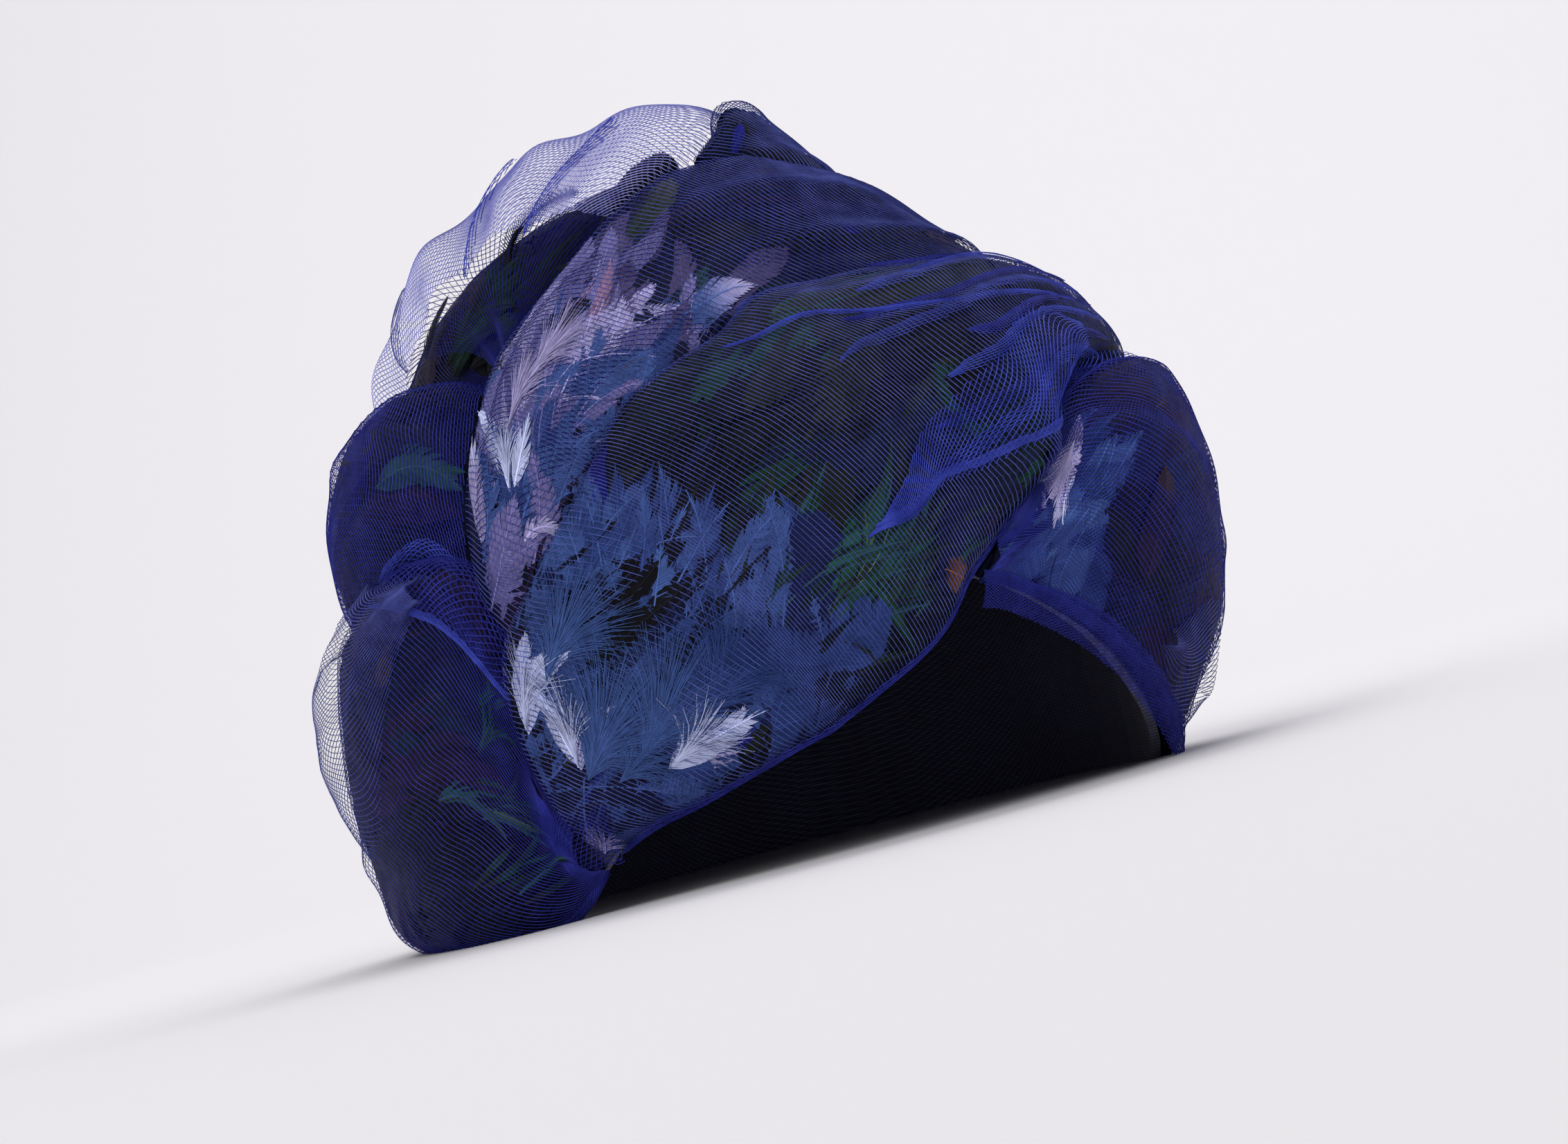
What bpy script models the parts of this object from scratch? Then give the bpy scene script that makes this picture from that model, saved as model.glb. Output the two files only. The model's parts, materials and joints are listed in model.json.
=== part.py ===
"""Feather hat: a tall turban-shaped hat of feather swathes wrapped round a stiff hollow crown.

The swathes cross at the front, where the rim rises into a notch, and a loose pouf of net stands
over the back of the crown with two free plumes under it.

Frame: metres, +Z up, the hat standing on z = 0. The wearer faces -Y and the wearer's right is -X.
Tables are in millimetres and degrees.

A place on the hat is given by two numbers. Turn is the angle from the front, positive towards the
wearer's right. Drop is the way down from the top of the crown along its side. Height is measured
outwards from the crown's outer face.
"""

import math
from collections import namedtuple

import bmesh
import bpy
import numpy as np
from mathutils import Vector
from mathutils.bvhtree import BVHTree

MM = 0.001

# Driving sizes
CROWN_WALL = 2.0
SWATHE_CLEARANCE = 1.0
SEAM_GAP = 0.5
BROW_TAPER = 0.12
NET_THICKNESS = 1.2
SEAT_GAP = 0.3

# Level rings of the hat, from the top down. form is the crown's outer face, full is the place that
# a swathe of common fullness reaches, both as height over the floor and half sizes across and along.
Ring = namedtuple("Ring", "drop form_z form_x form_y full_z full_x full_y centre_y")
RINGS = (
    Ring(0, 152, 0, 0, 169, 0, 0, -6),
    Ring(17, 149, 15, 17, 165, 17, 19, -3),
    Ring(35, 142, 29, 33, 157, 32, 36, 5),
    Ring(58, 132, 44, 50, 145, 50, 56, 13),
    Ring(82, 118, 58, 66, 130, 68, 76, 15),
    Ring(104, 104, 69.5, 79, 115, 83, 92, 11),
    Ring(122, 91, 77, 87, 100, 93, 102, 7),
    Ring(138, 78, 81, 92, 85, 99, 109, 5),
    Ring(158, 60.5, 82.5, 95, 65, 100, 112, 5),
    Ring(183, 38, 82, 95, 40, 99, 112, 7),
    Ring(209, 15, 80.5, 95, 15, 97, 110, 9),
    Ring(224, 0, 80.5, 95, 0, 95, 108, 9),
)

# The crown's lower edge: level at the sides and back, raised to a notch over the brow.
SeamPoint = namedtuple("SeamPoint", "turn drop")
RIM = tuple(SeamPoint(*row) for row in (
    (180, 224), (76, 224), (70, 217), (64, 210), (58, 206), (49, 203), (40, 199), (31, 195), (22, 189),
    (15, 184), (9, 178), (4, 170), (0, 170), (-4, 172), (-9, 176), (-15, 181), (-22, 187), (-30, 195),
    (-40, 205), (-52, 215), (-66, 224), (-180, 224)))

# Seams between the swathes, as rows of turn and drop. Swathes that share a seam meet along it.
CROSSING = ((64, 211), (58, 207), (49, 204), (40, 200), (31, 196), (27, 193.5), (22, 190), (15, 185),
            (9, 179), (4, 170), (-2, 163), (-13, 154), (-18, 143), (-27, 134), (-42, 131), (-60, 134),
            (-85, 139), (-115, 146), (-145.5, 153))
WRAP = ((68.5, 194), (70, 177), (68, 160), (62.5, 148), (54, 132), (50, 123), (45, 113), (37, 106),
        (28, 100), (19, 91), (8, 91), (-4, 93), (-15, 96), (-27, 98), (-42, 103), (-58, 106),
        (-85, 108), (-115, 114), (-149.5, 126))
FOLD = ((72.5, 143), (71, 125), (68.5, 107), (66, 91), (61, 78), (54, 64), (45, 49), (31, 36), (15, 33),
        (-2, 37), (-15, 43), (-27, 51), (-42, 56), (-60, 60), (-88, 62), (-118, 67), (-151, 80))
PEAK = ((13, 31.5), (-1, 25), (-27, 16), (-75, 18), (-104, 26), (-121, 38), (-134, 52), (-146, 66),
        (-152, 78))
SHOULDER = ((69.5, 88), (76, 86), (86, 86), (95, 87.5), (104, 90.5), (113, 95), (123, 99.5),
            (133, 102.5), (144, 104.5), (156, 106), (168, 106.5), (181, 106.5), (193, 106), (204, 104))
SIDE = ((73.5, 141), (80, 136), (89, 138), (98, 143), (112, 148), (130, 151), (147, 152), (164, 151),
        (181, 148), (196, 147), (212, 150))
NAPE = ((67, 214), (69, 217), (72, 221), (77, 225), (84, 226), (92, 226), (103, 226), (117, 226),
        (134, 226), (151, 226), (168, 226), (184, 226), (199, 226))
BROW_LEFT = ((0.5, 171), (-4, 173), (-9, 177), (-15, 182), (-22, 188), (-30, 196), (-40, 206),
             (-52, 216), (-66, 225), (-82, 226), (-100, 226), (-120, 226), (-140, 226), (-159.7, 226))

# A swathe runs along its two seams. Heights and belly have one value for each row of its seams.
Swathe = namedtuple("Swathe", "name low high low_height high_height belly low_round high_round pleats")
Pleat = namedtuple("Pleat", "across rise")

SWATHES = (
    Swathe("front_swathe_right", CROSSING, WRAP,
           (8, 8, 9, 9, 9, 9, 9, 9, 9, 10, 12, 14, 15, 16, 16, 16, 15, 14, 12),
           (10, 13, 15, 15, 15, 15, 15, 15, 15, 15, 15, 17, 19, 20, 19, 17, 15, 14, 12),
           (1, 2, 4, 5, 5, 5, 5, 5, 4, 3, 3, 2, 2, 1, 1, 1, 1, 1, 1),
           6, 7, (Pleat(0.2, 0.3), Pleat(0.33, -1.3), Pleat(0.42, 1.2), Pleat(0.6, 0.4),
                  Pleat(0.72, -0.8), Pleat(0.82, 0.6))),
    Swathe("front_swathe_left",
           BROW_LEFT,
           ((-6, 162.5), (-14.5, 154), (-19.5, 143.5), (-26, 136.5), (-34, 133.5), (-43, 132.5),
            (-54, 134), (-66, 136), (-81, 139.5), (-97, 143), (-115, 147.3), (-132, 151.8),
            (-146, 154.5), (-161.5, 150.5)),
           (6, 6, 7, 7, 8, 9, 11, 12, 13, 13, 12, 12, 12, 11),
           (5, 6, 7, 12, 16, 20, 22, 22, 20, 17, 14, 12, 10, 9),
           (1, 2, 4, 7, 8, 7, 6, 6, 6, 7, 7, 7, 6, 4),
           28, 6, (Pleat(0.25, 0), Pleat(0.4, -0.8), Pleat(0.5, 0.8), Pleat(0.66, 0.5),
                  Pleat(0.76, -1.2), Pleat(0.86, 0.8))),
    Swathe("crown_swathe_front", WRAP[2:], FOLD,
           (8, 9, 9, 9, 9, 9, 9, 9, 9, 9, 10, 11, 12, 12, 12, 11, 10),
           (9, 13, 15, 16, 16, 16, 16, 16, 16, 17, 17, 17, 16, 15, 14, 13, 11),
           (1, 2, 3, 3, 3, 3, 3, 3, 3, 3, 2, 2, 1, 1, 1, 1, 1),
           2, 6, (Pleat(0.15, 0), Pleat(0.3, 0.6), Pleat(0.38, -1.2), Pleat(0.52, 0.6),
                  Pleat(0.68, -0.6), Pleat(0.84, 0.4))),
    Swathe("crown_swathe_top", FOLD[8:], PEAK,
           (13, 14, 14, 14, 13, 12, 11, 10, 8),
           (15, 19, 21, 21, 18, 15, 13, 11, 9),
           (1, 2, 3, 3, 2, 2, 2, 2, 1),
           2, 5, (Pleat(0.2, 0), Pleat(0.4, 0.8), Pleat(0.6, -0.6), Pleat(0.8, 0.4))),
    Swathe("crown_swathe_back", SHOULDER, FOLD[3:8] + PEAK,
           (6, 6, 6, 6, 6, 6, 6, 6, 6, 6, 6, 6, 6, 6),
           (6, 5, 4, 3, 3, 3, 3, 3, 3, 3, 3, 4, 4, 5),
           (0, 1, 4, 7, 9, 9, 9, 9, 8, 7, 5, 3, 1, 0),
           2, 2, (Pleat(0.14, 0), Pleat(0.28, 0.8), Pleat(0.4, -0.8), Pleat(0.52, 0.8),
                  Pleat(0.64, -0.6), Pleat(0.76, 0.6), Pleat(0.88, 0))),
    Swathe("side_swathe_right_mid", SIDE,
           ((69.5, 90), (76, 87), (86, 87), (95, 88.5), (107, 93), (124, 101), (141, 105.5),
            (158, 107.5), (176, 108), (192, 107.5), (206, 105.5)),
           (8, 9, 9, 9, 9, 9, 9, 9, 9, 9, 8),
           (10, 14, 17, 17, 17, 16, 15, 14, 13, 12, 10),
           (1, 3, 4, 4, 4, 4, 3, 3, 3, 3, 2),
           3, 7, (Pleat(0.16, 0.8), Pleat(0.24, -1.6), Pleat(0.32, 0.8), Pleat(0.5, 0.2),
                  Pleat(0.66, -0.8), Pleat(0.82, 0.5))),
    Swathe("side_swathe_right_low", NAPE,
           ((68.5, 203), (71.2, 184), (70.5, 164)) + tuple((turn, drop + 0.5) for turn, drop in SIDE[:10]),
           (9, 11, 14, 16, 17, 17, 17, 17, 16, 16, 16, 16, 15),
           (9, 10, 11, 13, 15, 16, 16, 15, 15, 15, 14, 14, 14),
           (0, 1, 2, 3, 3.5, 3.5, 3.5, 3.5, 3, 3, 3, 2, 1),
           13, 5, (Pleat(0.26, 0), Pleat(0.42, 0.6), Pleat(0.54, -0.9), Pleat(0.66, 0.7),
                   Pleat(0.78, -0.7), Pleat(0.87, 0.6))),
)

# The net pouf stands over the back crown swathe. crest is its height above the crown half way across.
POUF_LOW_EDGE = 6.6
POUF_HIGH_EDGE = (7.5, 8, 10, 12, 14, 15, 18, 19, 18, 16, 13, 11, 9, 8)
POUF_CREST = (8.5, 12, 17, 22, 26, 28, 28, 27.5, 27, 26, 24, 20, 15, 11)
POUF_FULLNESS = 0.5
POUF_SKEW = 1.25
POUF_TURN_UNDER = 0.97
POUF_CREASES = 5
POUF_CREASE_DEPTH = 1.3
POUF_COLUMNS = 10

# Plumes under the pouf. The round tip stands on edge behind the crown fold, as a row of places with
# the height of its rim. The curl is a quill that leaves the back crown swathe and bends forward.
PlumePoint = namedtuple("PlumePoint", "turn drop height")
ROUND_TIP = (PlumePoint(51, 39, 11), PlumePoint(49, 38, 15), PlumePoint(45, 36, 17.5),
             PlumePoint(40, 33.5, 18.5), PlumePoint(34, 31.5, 18.7), PlumePoint(29, 29.5, 18),
             PlumePoint(25, 28, 15.5), PlumePoint(23, 27, 12))
ROUND_TIP_THICKNESS = 1.2
CURL = (PlumePoint(74, 58, 15), PlumePoint(78, 50, 16.5), PlumePoint(79, 43, 18),
        PlumePoint(74, 38, 18.5), PlumePoint(66, 37, 18.5), PlumePoint(59, 40, 19))
CURL_RADIUS = 0.9
CURL_STEPS = 3

# Rounding of a swathe's edge: share of the rounding's width, share of the full height.
EdgeStep = namedtuple("EdgeStep", "inward height")
EDGE = (EdgeStep(0.0, 0.5), EdgeStep(0.22, 0.78), EdgeStep(0.55, 0.94), EdgeStep(1.0, 1.0))
SLOPE = (EdgeStep(0.0, 0.2), EdgeStep(0.18, 0.3), EdgeStep(0.5, 0.72), EdgeStep(1.0, 1.0))
SLOPE_FROM = 20.0
UNDERSIDE_SPACING = 11.0
STEPS_PER_ROW = 2

# The crown's mesh
CROWN_ROWS = 9
FINE_TURN = 6.0
COARSE_TURN = 10.0
FINE_REACH = 78.0

Finish = namedtuple("Finish", "colour roughness")
FINISHES = {
    "crown_base": Finish((0.012, 0.012, 0.030), 0.85),
    "front_swathe_right": Finish((0.012, 0.030, 0.075), 0.45),
    "front_swathe_left": Finish((0.020, 0.040, 0.160), 0.45),
    "crown_swathe_front": Finish((0.030, 0.030, 0.110), 0.50),
    "crown_swathe_top": Finish((0.012, 0.012, 0.055), 0.50),
    "crown_swathe_back": Finish((0.010, 0.030, 0.035), 0.45),
    "side_swathe_right_mid": Finish((0.012, 0.016, 0.055), 0.45),
    "side_swathe_right_low": Finish((0.010, 0.012, 0.060), 0.50),
    "net_pouf": Finish((0.180, 0.200, 0.600), 0.60),
    "plume_round_tip": Finish((0.010, 0.010, 0.016), 0.40),
    "plume_curl": Finish((0.010, 0.010, 0.016), 0.40),
}


def clear_scene():
    for obj in list(bpy.data.objects):
        bpy.data.objects.remove(obj, do_unlink=True)


def smooth_value(column, drop):
    """One column of RINGS at a drop, by cubic segments with averaged slopes."""
    xs = np.array([ring.drop for ring in RINGS], float)
    ys = np.array([getattr(ring, column) for ring in RINGS], float)
    slopes = np.gradient(ys, xs)
    drop = np.clip(drop, xs[0], xs[-1])
    i = np.clip(np.searchsorted(xs, drop, side="right") - 1, 0, len(xs) - 2)
    span = xs[i + 1] - xs[i]
    t = (drop - xs[i]) / span
    start = ys[i] * (1 + 2 * t) * (1 - t) ** 2 + slopes[i] * span * t * (1 - t) ** 2
    end = ys[i + 1] * t * t * (3 - 2 * t) + slopes[i + 1] * span * t * t * (t - 1)
    return start + end


def place(chart, height):
    """World points, in millimetres, of chart points at a height above the crown's outer face."""
    chart = np.asarray(chart, float)
    p = chart[..., 0]
    q = chart[..., 1]
    drop = np.hypot(p, q)
    safe = np.maximum(drop, 1e-6)
    across = p / safe
    along = q / safe
    taper = 1 - BROW_TAPER * np.maximum(-along, 0) ** 1.4
    centre_y = smooth_value("centre_y", drop)

    def at(kind):
        x = smooth_value(kind + "_x", drop) * across * taper
        y = smooth_value(kind + "_y", drop) * along + centre_y
        return np.stack([x, y, smooth_value(kind + "_z", drop)], -1)

    form = at("form")
    outward = at("full") - form
    outward /= np.linalg.norm(outward, axis=-1)[..., None]
    return form + outward * np.asarray(height, float)[..., None]


def chart_point(turn, drop):
    """Chart plane: the top of the crown at its middle, the front towards -q, the right towards -p."""
    angle = math.radians(turn)
    return (-drop * math.sin(angle), -drop * math.cos(angle))


def through(values, steps):
    """A smooth curve through rows of values, with a number of steps from row to row."""
    rows = np.asarray(values, float)
    padded = np.concatenate([[2 * rows[0] - rows[1]], rows, [2 * rows[-1] - rows[-2]]])
    out = []
    for i in range(len(rows) - 1):
        a, b, c, d = padded[i:i + 4]
        for k in range(steps):
            t = k / steps
            out.append(0.5 * (2 * b + (c - a) * t + (2 * a - 5 * b + 4 * c - d) * t * t
                              + (3 * b - a - 3 * c + d) * t ** 3))
    out.append(rows[-1])
    return np.array(out)


def seam_curve(seam, steps):
    return through([chart_point(*row) for row in seam], steps)


def new_object(name, mesh):
    obj = bpy.data.objects.new(name, mesh)
    bpy.data.collections["feather_hat"].objects.link(obj)
    return obj


def mesh_from_rings(name, rings):
    """Closed body lofted through rings of equal point counts, with a face on each end."""
    bm = bmesh.new()
    loops = [[bm.verts.new(point * MM) for point in ring] for ring in rings]
    count = len(loops[0])
    for near, far in zip(loops[:-1], loops[1:]):
        for k in range(count):
            nxt = (k + 1) % count
            bm.faces.new((near[k], near[nxt], far[nxt], far[k]))
    bm.faces.new(loops[0])
    bm.faces.new(loops[-1])
    bmesh.ops.recalc_face_normals(bm, faces=bm.faces)
    mesh = bpy.data.meshes.new(name)
    bm.to_mesh(mesh)
    bm.free()
    return new_object(name, mesh)


def swathe_sections(swathe, steps):
    """For each station: the two edges, the width and the interpolated heights."""
    low = seam_curve(swathe.low, steps)
    high = seam_curve(swathe.high, steps)
    heights = through(list(zip(swathe.low_height, swathe.high_height, swathe.belly)), steps)
    run = high - low
    width = np.linalg.norm(run, axis=1)
    unit = run / width[:, None]
    inset = np.minimum(SEAM_GAP, width * 0.2)
    low = low + unit * inset[:, None]
    return low, unit, width - 2 * inset, heights


def outer_profile(swathe, width, heights, fade):
    """Columns across the outer face: offset from the low edge and height above the crown."""
    low_height, high_height, belly = heights
    low_round = min(swathe.low_round, 0.42 * width)
    high_round = min(swathe.high_round, 0.42 * width)
    inner_span = width - low_round - high_round

    def full(offset):
        share = offset / width
        return low_height + (high_height - low_height) * share + belly * math.sin(math.pi * share)

    low_edge = SLOPE if swathe.low_round > SLOPE_FROM else EDGE
    columns = [(step.inward * low_round, full(step.inward * low_round) * step.height) for step in low_edge]
    for pleat in swathe.pleats:
        offset = low_round + inner_span * pleat.across
        columns.append((offset, full(offset) + pleat.rise * fade))
    for step in reversed(EDGE):
        offset = width - step.inward * high_round
        columns.append((offset, full(offset) * step.height))
    return columns


def build_swathe(swathe):
    low, unit, width, heights = swathe_sections(swathe, STEPS_PER_ROW)
    underside = max(3, round(float(width.max()) / UNDERSIDE_SPACING))
    rings = []
    for i in range(len(low)):
        fade = math.sin(math.pi * (i + 1) / (len(low) + 1))
        columns = outer_profile(swathe, width[i], heights[i], fade)
        offsets = [column[0] for column in columns]
        lifts = [max(column[1], SWATHE_CLEARANCE + 0.6) for column in columns]
        for k in range(underside + 1):
            offsets.append(width[i] * (1 - k / underside))
            lifts.append(SWATHE_CLEARANCE)
        chart = low[i] + unit[i] * np.array(offsets)[:, None]
        rings.append(place(chart, lifts))
    return mesh_from_rings(swathe.name, rings)


def build_pouf(carrier):
    """A wrinkled shell of net over the back crown swathe, resting on it along its lower edge."""
    low, unit, width, _ = swathe_sections(carrier, STEPS_PER_ROW)
    rows = through(list(zip(POUF_CREST, POUF_HIGH_EDGE)), STEPS_PER_ROW)
    shares = np.sort(np.append(np.linspace(0, 1, POUF_COLUMNS + 1), POUF_TURN_UNDER))
    swell = np.sin(np.pi * shares ** POUF_SKEW) ** POUF_FULLNESS
    rings = []
    for i, (crest, high_edge) in enumerate(rows):
        station = i / (len(rows) - 1)
        edges = POUF_LOW_EDGE + (high_edge - POUF_LOW_EDGE) * shares
        crease = np.cos(2 * np.pi * POUF_CREASES * (shares + 0.35 * station)) * np.sin(np.pi * shares)
        lift = edges + (crest - edges) * swell + POUF_CREASE_DEPTH * crease * math.sin(math.pi * station)
        lift = np.maximum(lift, POUF_LOW_EDGE)
        chart = low[i] + unit[i] * (width[i] * shares)[:, None]
        outer = place(chart, lift)
        inner = place(chart, lift - NET_THICKNESS)
        rings.append(np.concatenate([outer, inner[::-1]]))
    return mesh_from_rings("net_pouf", rings)


def skin_height(carrier, chart):
    """Height above the crown of a piece's outer face at a chart point."""
    above = 60.0
    start = place(chart, above)
    down = place(chart, 0.0) - start
    down /= np.linalg.norm(down)
    tree = BVHTree.FromObject(carrier, bpy.context.evaluated_depsgraph_get())
    distance = tree.ray_cast(Vector(start * MM), Vector(down))[3]
    return above - distance / MM


def build_round_tip(carrier):
    """A rounded feather tip standing on edge, its foot on the back crown swathe."""
    centre = np.array([chart_point(row.turn, row.drop) for row in ROUND_TIP])
    along = np.gradient(centre, axis=0)
    across = np.stack([-along[:, 1], along[:, 0]], -1)
    across /= np.linalg.norm(across, axis=1)[:, None]
    half = across * ROUND_TIP_THICKNESS / 2
    rings = []
    for row, middle, side in zip(ROUND_TIP, centre, half):
        foot = max(skin_height(carrier, middle + side * k) for k in (-1, 0, 1)) + SEAT_GAP
        rim = max(row.height, foot + 1)
        belly = foot + (rim - foot) * 0.6
        ring = [(middle - side, foot), (middle - side, belly), (middle - side * 0.4, rim),
                (middle + side * 0.4, rim), (middle + side, belly), (middle + side, foot)]
        rings.append([place(chart, height) for chart, height in ring])
    return mesh_from_rings("plume_round_tip", rings)


def build_curl(carrier):
    """A thin curved quill, its lower end on the back crown swathe."""
    chart = seam_curve([(row.turn, row.drop) for row in CURL], CURL_STEPS)
    heights = through([[row.height] for row in CURL], CURL_STEPS)[:, 0]
    heights[0] = skin_height(carrier, chart[0]) + SEAT_GAP + CURL_RADIUS
    curve = bpy.data.curves.new("plume_curl", "CURVE")
    curve.dimensions = "3D"
    curve.bevel_depth = CURL_RADIUS * MM
    curve.bevel_resolution = 1
    curve.use_fill_caps = True
    spline = curve.splines.new("POLY")
    spline.points.add(len(chart) - 1)
    for i, (place_2d, height) in enumerate(zip(chart, heights)):
        spline.points[i].co = (*(place(place_2d, height) * MM), 1)
        spline.points[i].radius = 1 - 0.6 * i / (len(chart) - 1)
    return new_object("plume_curl", curve)


def rim_drop(turn):
    rows = sorted(RIM)
    return float(np.interp(turn, [row.turn for row in rows], [row.drop for row in rows]))


def crown_turns():
    fine = np.arange(-FINE_REACH, FINE_REACH + 0.1, FINE_TURN)
    coarse = np.linspace(FINE_REACH, 360 - FINE_REACH, round((360 - 2 * FINE_REACH) / COARSE_TURN) + 1)
    return list(fine) + list(coarse[1:-1])


def build_crown():
    """Hollow stiffened crown: its outer face as an open surface, thickened inwards."""
    bm = bmesh.new()
    top = bm.verts.new(place((0.0, 0.0), 0.0) * MM)
    columns = []
    for turn in crown_turns():
        signed = (turn + 180) % 360 - 180
        drops = [rim_drop(signed) * row / CROWN_ROWS for row in range(1, CROWN_ROWS + 1)]
        columns.append([bm.verts.new(place(chart_point(turn, drop), 0.0) * MM) for drop in drops])
    for i, near in enumerate(columns):
        far = columns[(i + 1) % len(columns)]
        bm.faces.new((top, near[0], far[0]))
        for k in range(CROWN_ROWS - 1):
            bm.faces.new((near[k], near[k + 1], far[k + 1], far[k]))
    bmesh.ops.recalc_face_normals(bm, faces=bm.faces)
    if sum(face.normal.z * face.calc_area() for face in bm.faces) < 0:
        bmesh.ops.reverse_faces(bm, faces=bm.faces)
    mesh = bpy.data.meshes.new("crown_base")
    bm.to_mesh(mesh)
    bm.free()
    crown = new_object("crown_base", mesh)
    wall = crown.modifiers.new("wall", "SOLIDIFY")
    wall.thickness = CROWN_WALL * MM
    wall.offset = -1
    wall.use_even_offset = True
    return crown


def apply_finish(obj):
    finish = FINISHES[obj.name]
    material = bpy.data.materials.new(obj.name)
    material.use_nodes = True
    shader = material.node_tree.nodes["Principled BSDF"]
    shader.inputs["Base Color"].default_value = (*finish.colour, 1)
    shader.inputs["Roughness"].default_value = finish.roughness
    shader.inputs["Metallic"].default_value = 0
    obj.data.materials.append(material)


def centre_on_floor(pieces):
    """Moves the hat so that its outline is centred on the origin."""
    depsgraph = bpy.context.evaluated_depsgraph_get()
    points = []
    for piece in pieces:
        solid = piece.evaluated_get(depsgraph)
        points += [vertex.co.copy() for vertex in solid.to_mesh().vertices]
        solid.to_mesh_clear()
    points = np.array(points)
    middle = (points.min(axis=0) + points.max(axis=0)) / 2
    for piece in pieces:
        piece.location = (-middle[0], -middle[1], 0)


def main():
    clear_scene()
    bpy.context.scene.collection.children.link(bpy.data.collections.new("feather_hat"))
    crown = build_crown()
    swathes = {swathe.name: build_swathe(swathe) for swathe in SWATHES}
    back = swathes["crown_swathe_back"]
    carried = next(swathe for swathe in SWATHES if swathe.name == "crown_swathe_back")
    pieces = [crown, *swathes.values(), build_pouf(carried), build_round_tip(back), build_curl(back)]
    for piece in pieces:
        apply_finish(piece)
    for piece in pieces[:-1]:
        piece.data.shade_smooth()
    centre_on_floor(pieces)


main()
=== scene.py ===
"""Looks of the feather hat: feathers sewn over each swathe, royal blue net drawn over them, the net
pouf behind the crown, the plumes under it and the loose net edges.

A place on the hat is given by turn (degrees from the front, positive towards the hat's right side),
drop (millimetres down from the top of the crown along its side) and height (millimetres out from
the crown's outer face). Tables are in millimetres and degrees.
"""
import json
import math
from collections import namedtuple

import bpy
import numpy as np
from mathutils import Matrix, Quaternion, Vector


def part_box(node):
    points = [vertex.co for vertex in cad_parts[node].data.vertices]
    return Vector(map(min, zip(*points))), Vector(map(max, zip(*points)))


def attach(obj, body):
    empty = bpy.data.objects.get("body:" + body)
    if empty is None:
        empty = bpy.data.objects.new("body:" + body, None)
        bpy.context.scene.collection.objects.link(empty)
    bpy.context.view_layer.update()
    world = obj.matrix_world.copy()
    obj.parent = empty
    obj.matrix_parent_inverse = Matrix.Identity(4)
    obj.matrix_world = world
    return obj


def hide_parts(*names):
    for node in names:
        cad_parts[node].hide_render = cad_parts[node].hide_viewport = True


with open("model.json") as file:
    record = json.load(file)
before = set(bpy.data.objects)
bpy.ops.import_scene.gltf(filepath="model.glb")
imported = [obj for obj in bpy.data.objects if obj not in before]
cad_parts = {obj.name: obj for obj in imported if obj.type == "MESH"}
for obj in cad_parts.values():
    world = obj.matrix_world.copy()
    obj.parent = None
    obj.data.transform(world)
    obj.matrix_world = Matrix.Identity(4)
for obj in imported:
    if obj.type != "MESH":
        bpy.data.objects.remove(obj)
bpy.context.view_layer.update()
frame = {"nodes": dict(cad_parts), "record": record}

MM = 0.001
random = np.random.default_rng(1962)

# The hat's form: level rings from the top down, as in the solids.
Ring = namedtuple("Ring", "drop form_z form_x form_y full_z full_x full_y centre_y")
RINGS = (
    Ring(0, 152, 0, 0, 169, 0, 0, -6),
    Ring(17, 149, 15, 17, 165, 17, 19, -3),
    Ring(35, 142, 29, 33, 157, 32, 36, 5),
    Ring(58, 132, 44, 50, 145, 50, 56, 13),
    Ring(82, 118, 58, 66, 130, 68, 76, 15),
    Ring(104, 104, 69.5, 79, 115, 83, 92, 11),
    Ring(122, 91, 77, 87, 100, 93, 102, 7),
    Ring(138, 78, 81, 92, 85, 99, 109, 5),
    Ring(158, 60.5, 82.5, 95, 65, 100, 112, 5),
    Ring(183, 38, 82, 95, 40, 99, 112, 7),
    Ring(209, 15, 80.5, 95, 15, 97, 110, 9),
    Ring(224, 0, 80.5, 95, 0, 95, 108, 9),
)
# how much narrower the hat is at the brow, and the power by which that sets in
BROW_TAPER = 0.12
BROW_POWER = 1.4

# Seams between the swathes, as rows of turn and drop.
CROSSING = ((64, 211), (58, 207), (49, 204), (40, 200), (31, 196), (27, 193.5), (22, 190), (15, 185),
            (9, 179), (4, 170), (-2, 163), (-13, 154), (-18, 143), (-27, 134), (-42, 131), (-60, 134),
            (-85, 139), (-115, 146), (-145.5, 153))
WRAP = ((68.5, 194), (70, 177), (68, 160), (62.5, 148), (54, 132), (50, 123), (45, 113), (37, 106),
        (28, 100), (19, 91), (8, 91), (-4, 93), (-15, 96), (-27, 98), (-42, 103), (-58, 106),
        (-85, 108), (-115, 114), (-149.5, 126))
FOLD = ((72.5, 143), (71, 125), (68.5, 107), (66, 91), (61, 78), (54, 64), (45, 49), (31, 36), (15, 33),
        (-2, 37), (-15, 43), (-27, 51), (-42, 56), (-60, 60), (-88, 62), (-118, 67), (-151, 80))
PEAK = ((13, 31.5), (-1, 25), (-27, 16), (-75, 18), (-104, 26), (-121, 38), (-134, 52), (-146, 66),
        (-152, 78))
SHOULDER = ((69.5, 88), (76, 86), (86, 86), (95, 87.5), (104, 90.5), (113, 95), (123, 99.5),
            (133, 102.5), (144, 104.5), (156, 106), (168, 106.5), (181, 106.5), (193, 106), (204, 104))
SIDE = ((73.5, 141), (80, 136), (89, 138), (98, 143), (112, 148), (130, 151), (147, 152), (164, 151),
        (181, 148), (196, 147), (212, 150))
NAPE = ((67, 214), (69, 217), (72, 221), (77, 225), (84, 226), (92, 226), (103, 226), (117, 226),
        (134, 226), (151, 226), (168, 226), (184, 226), (199, 226))
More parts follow.
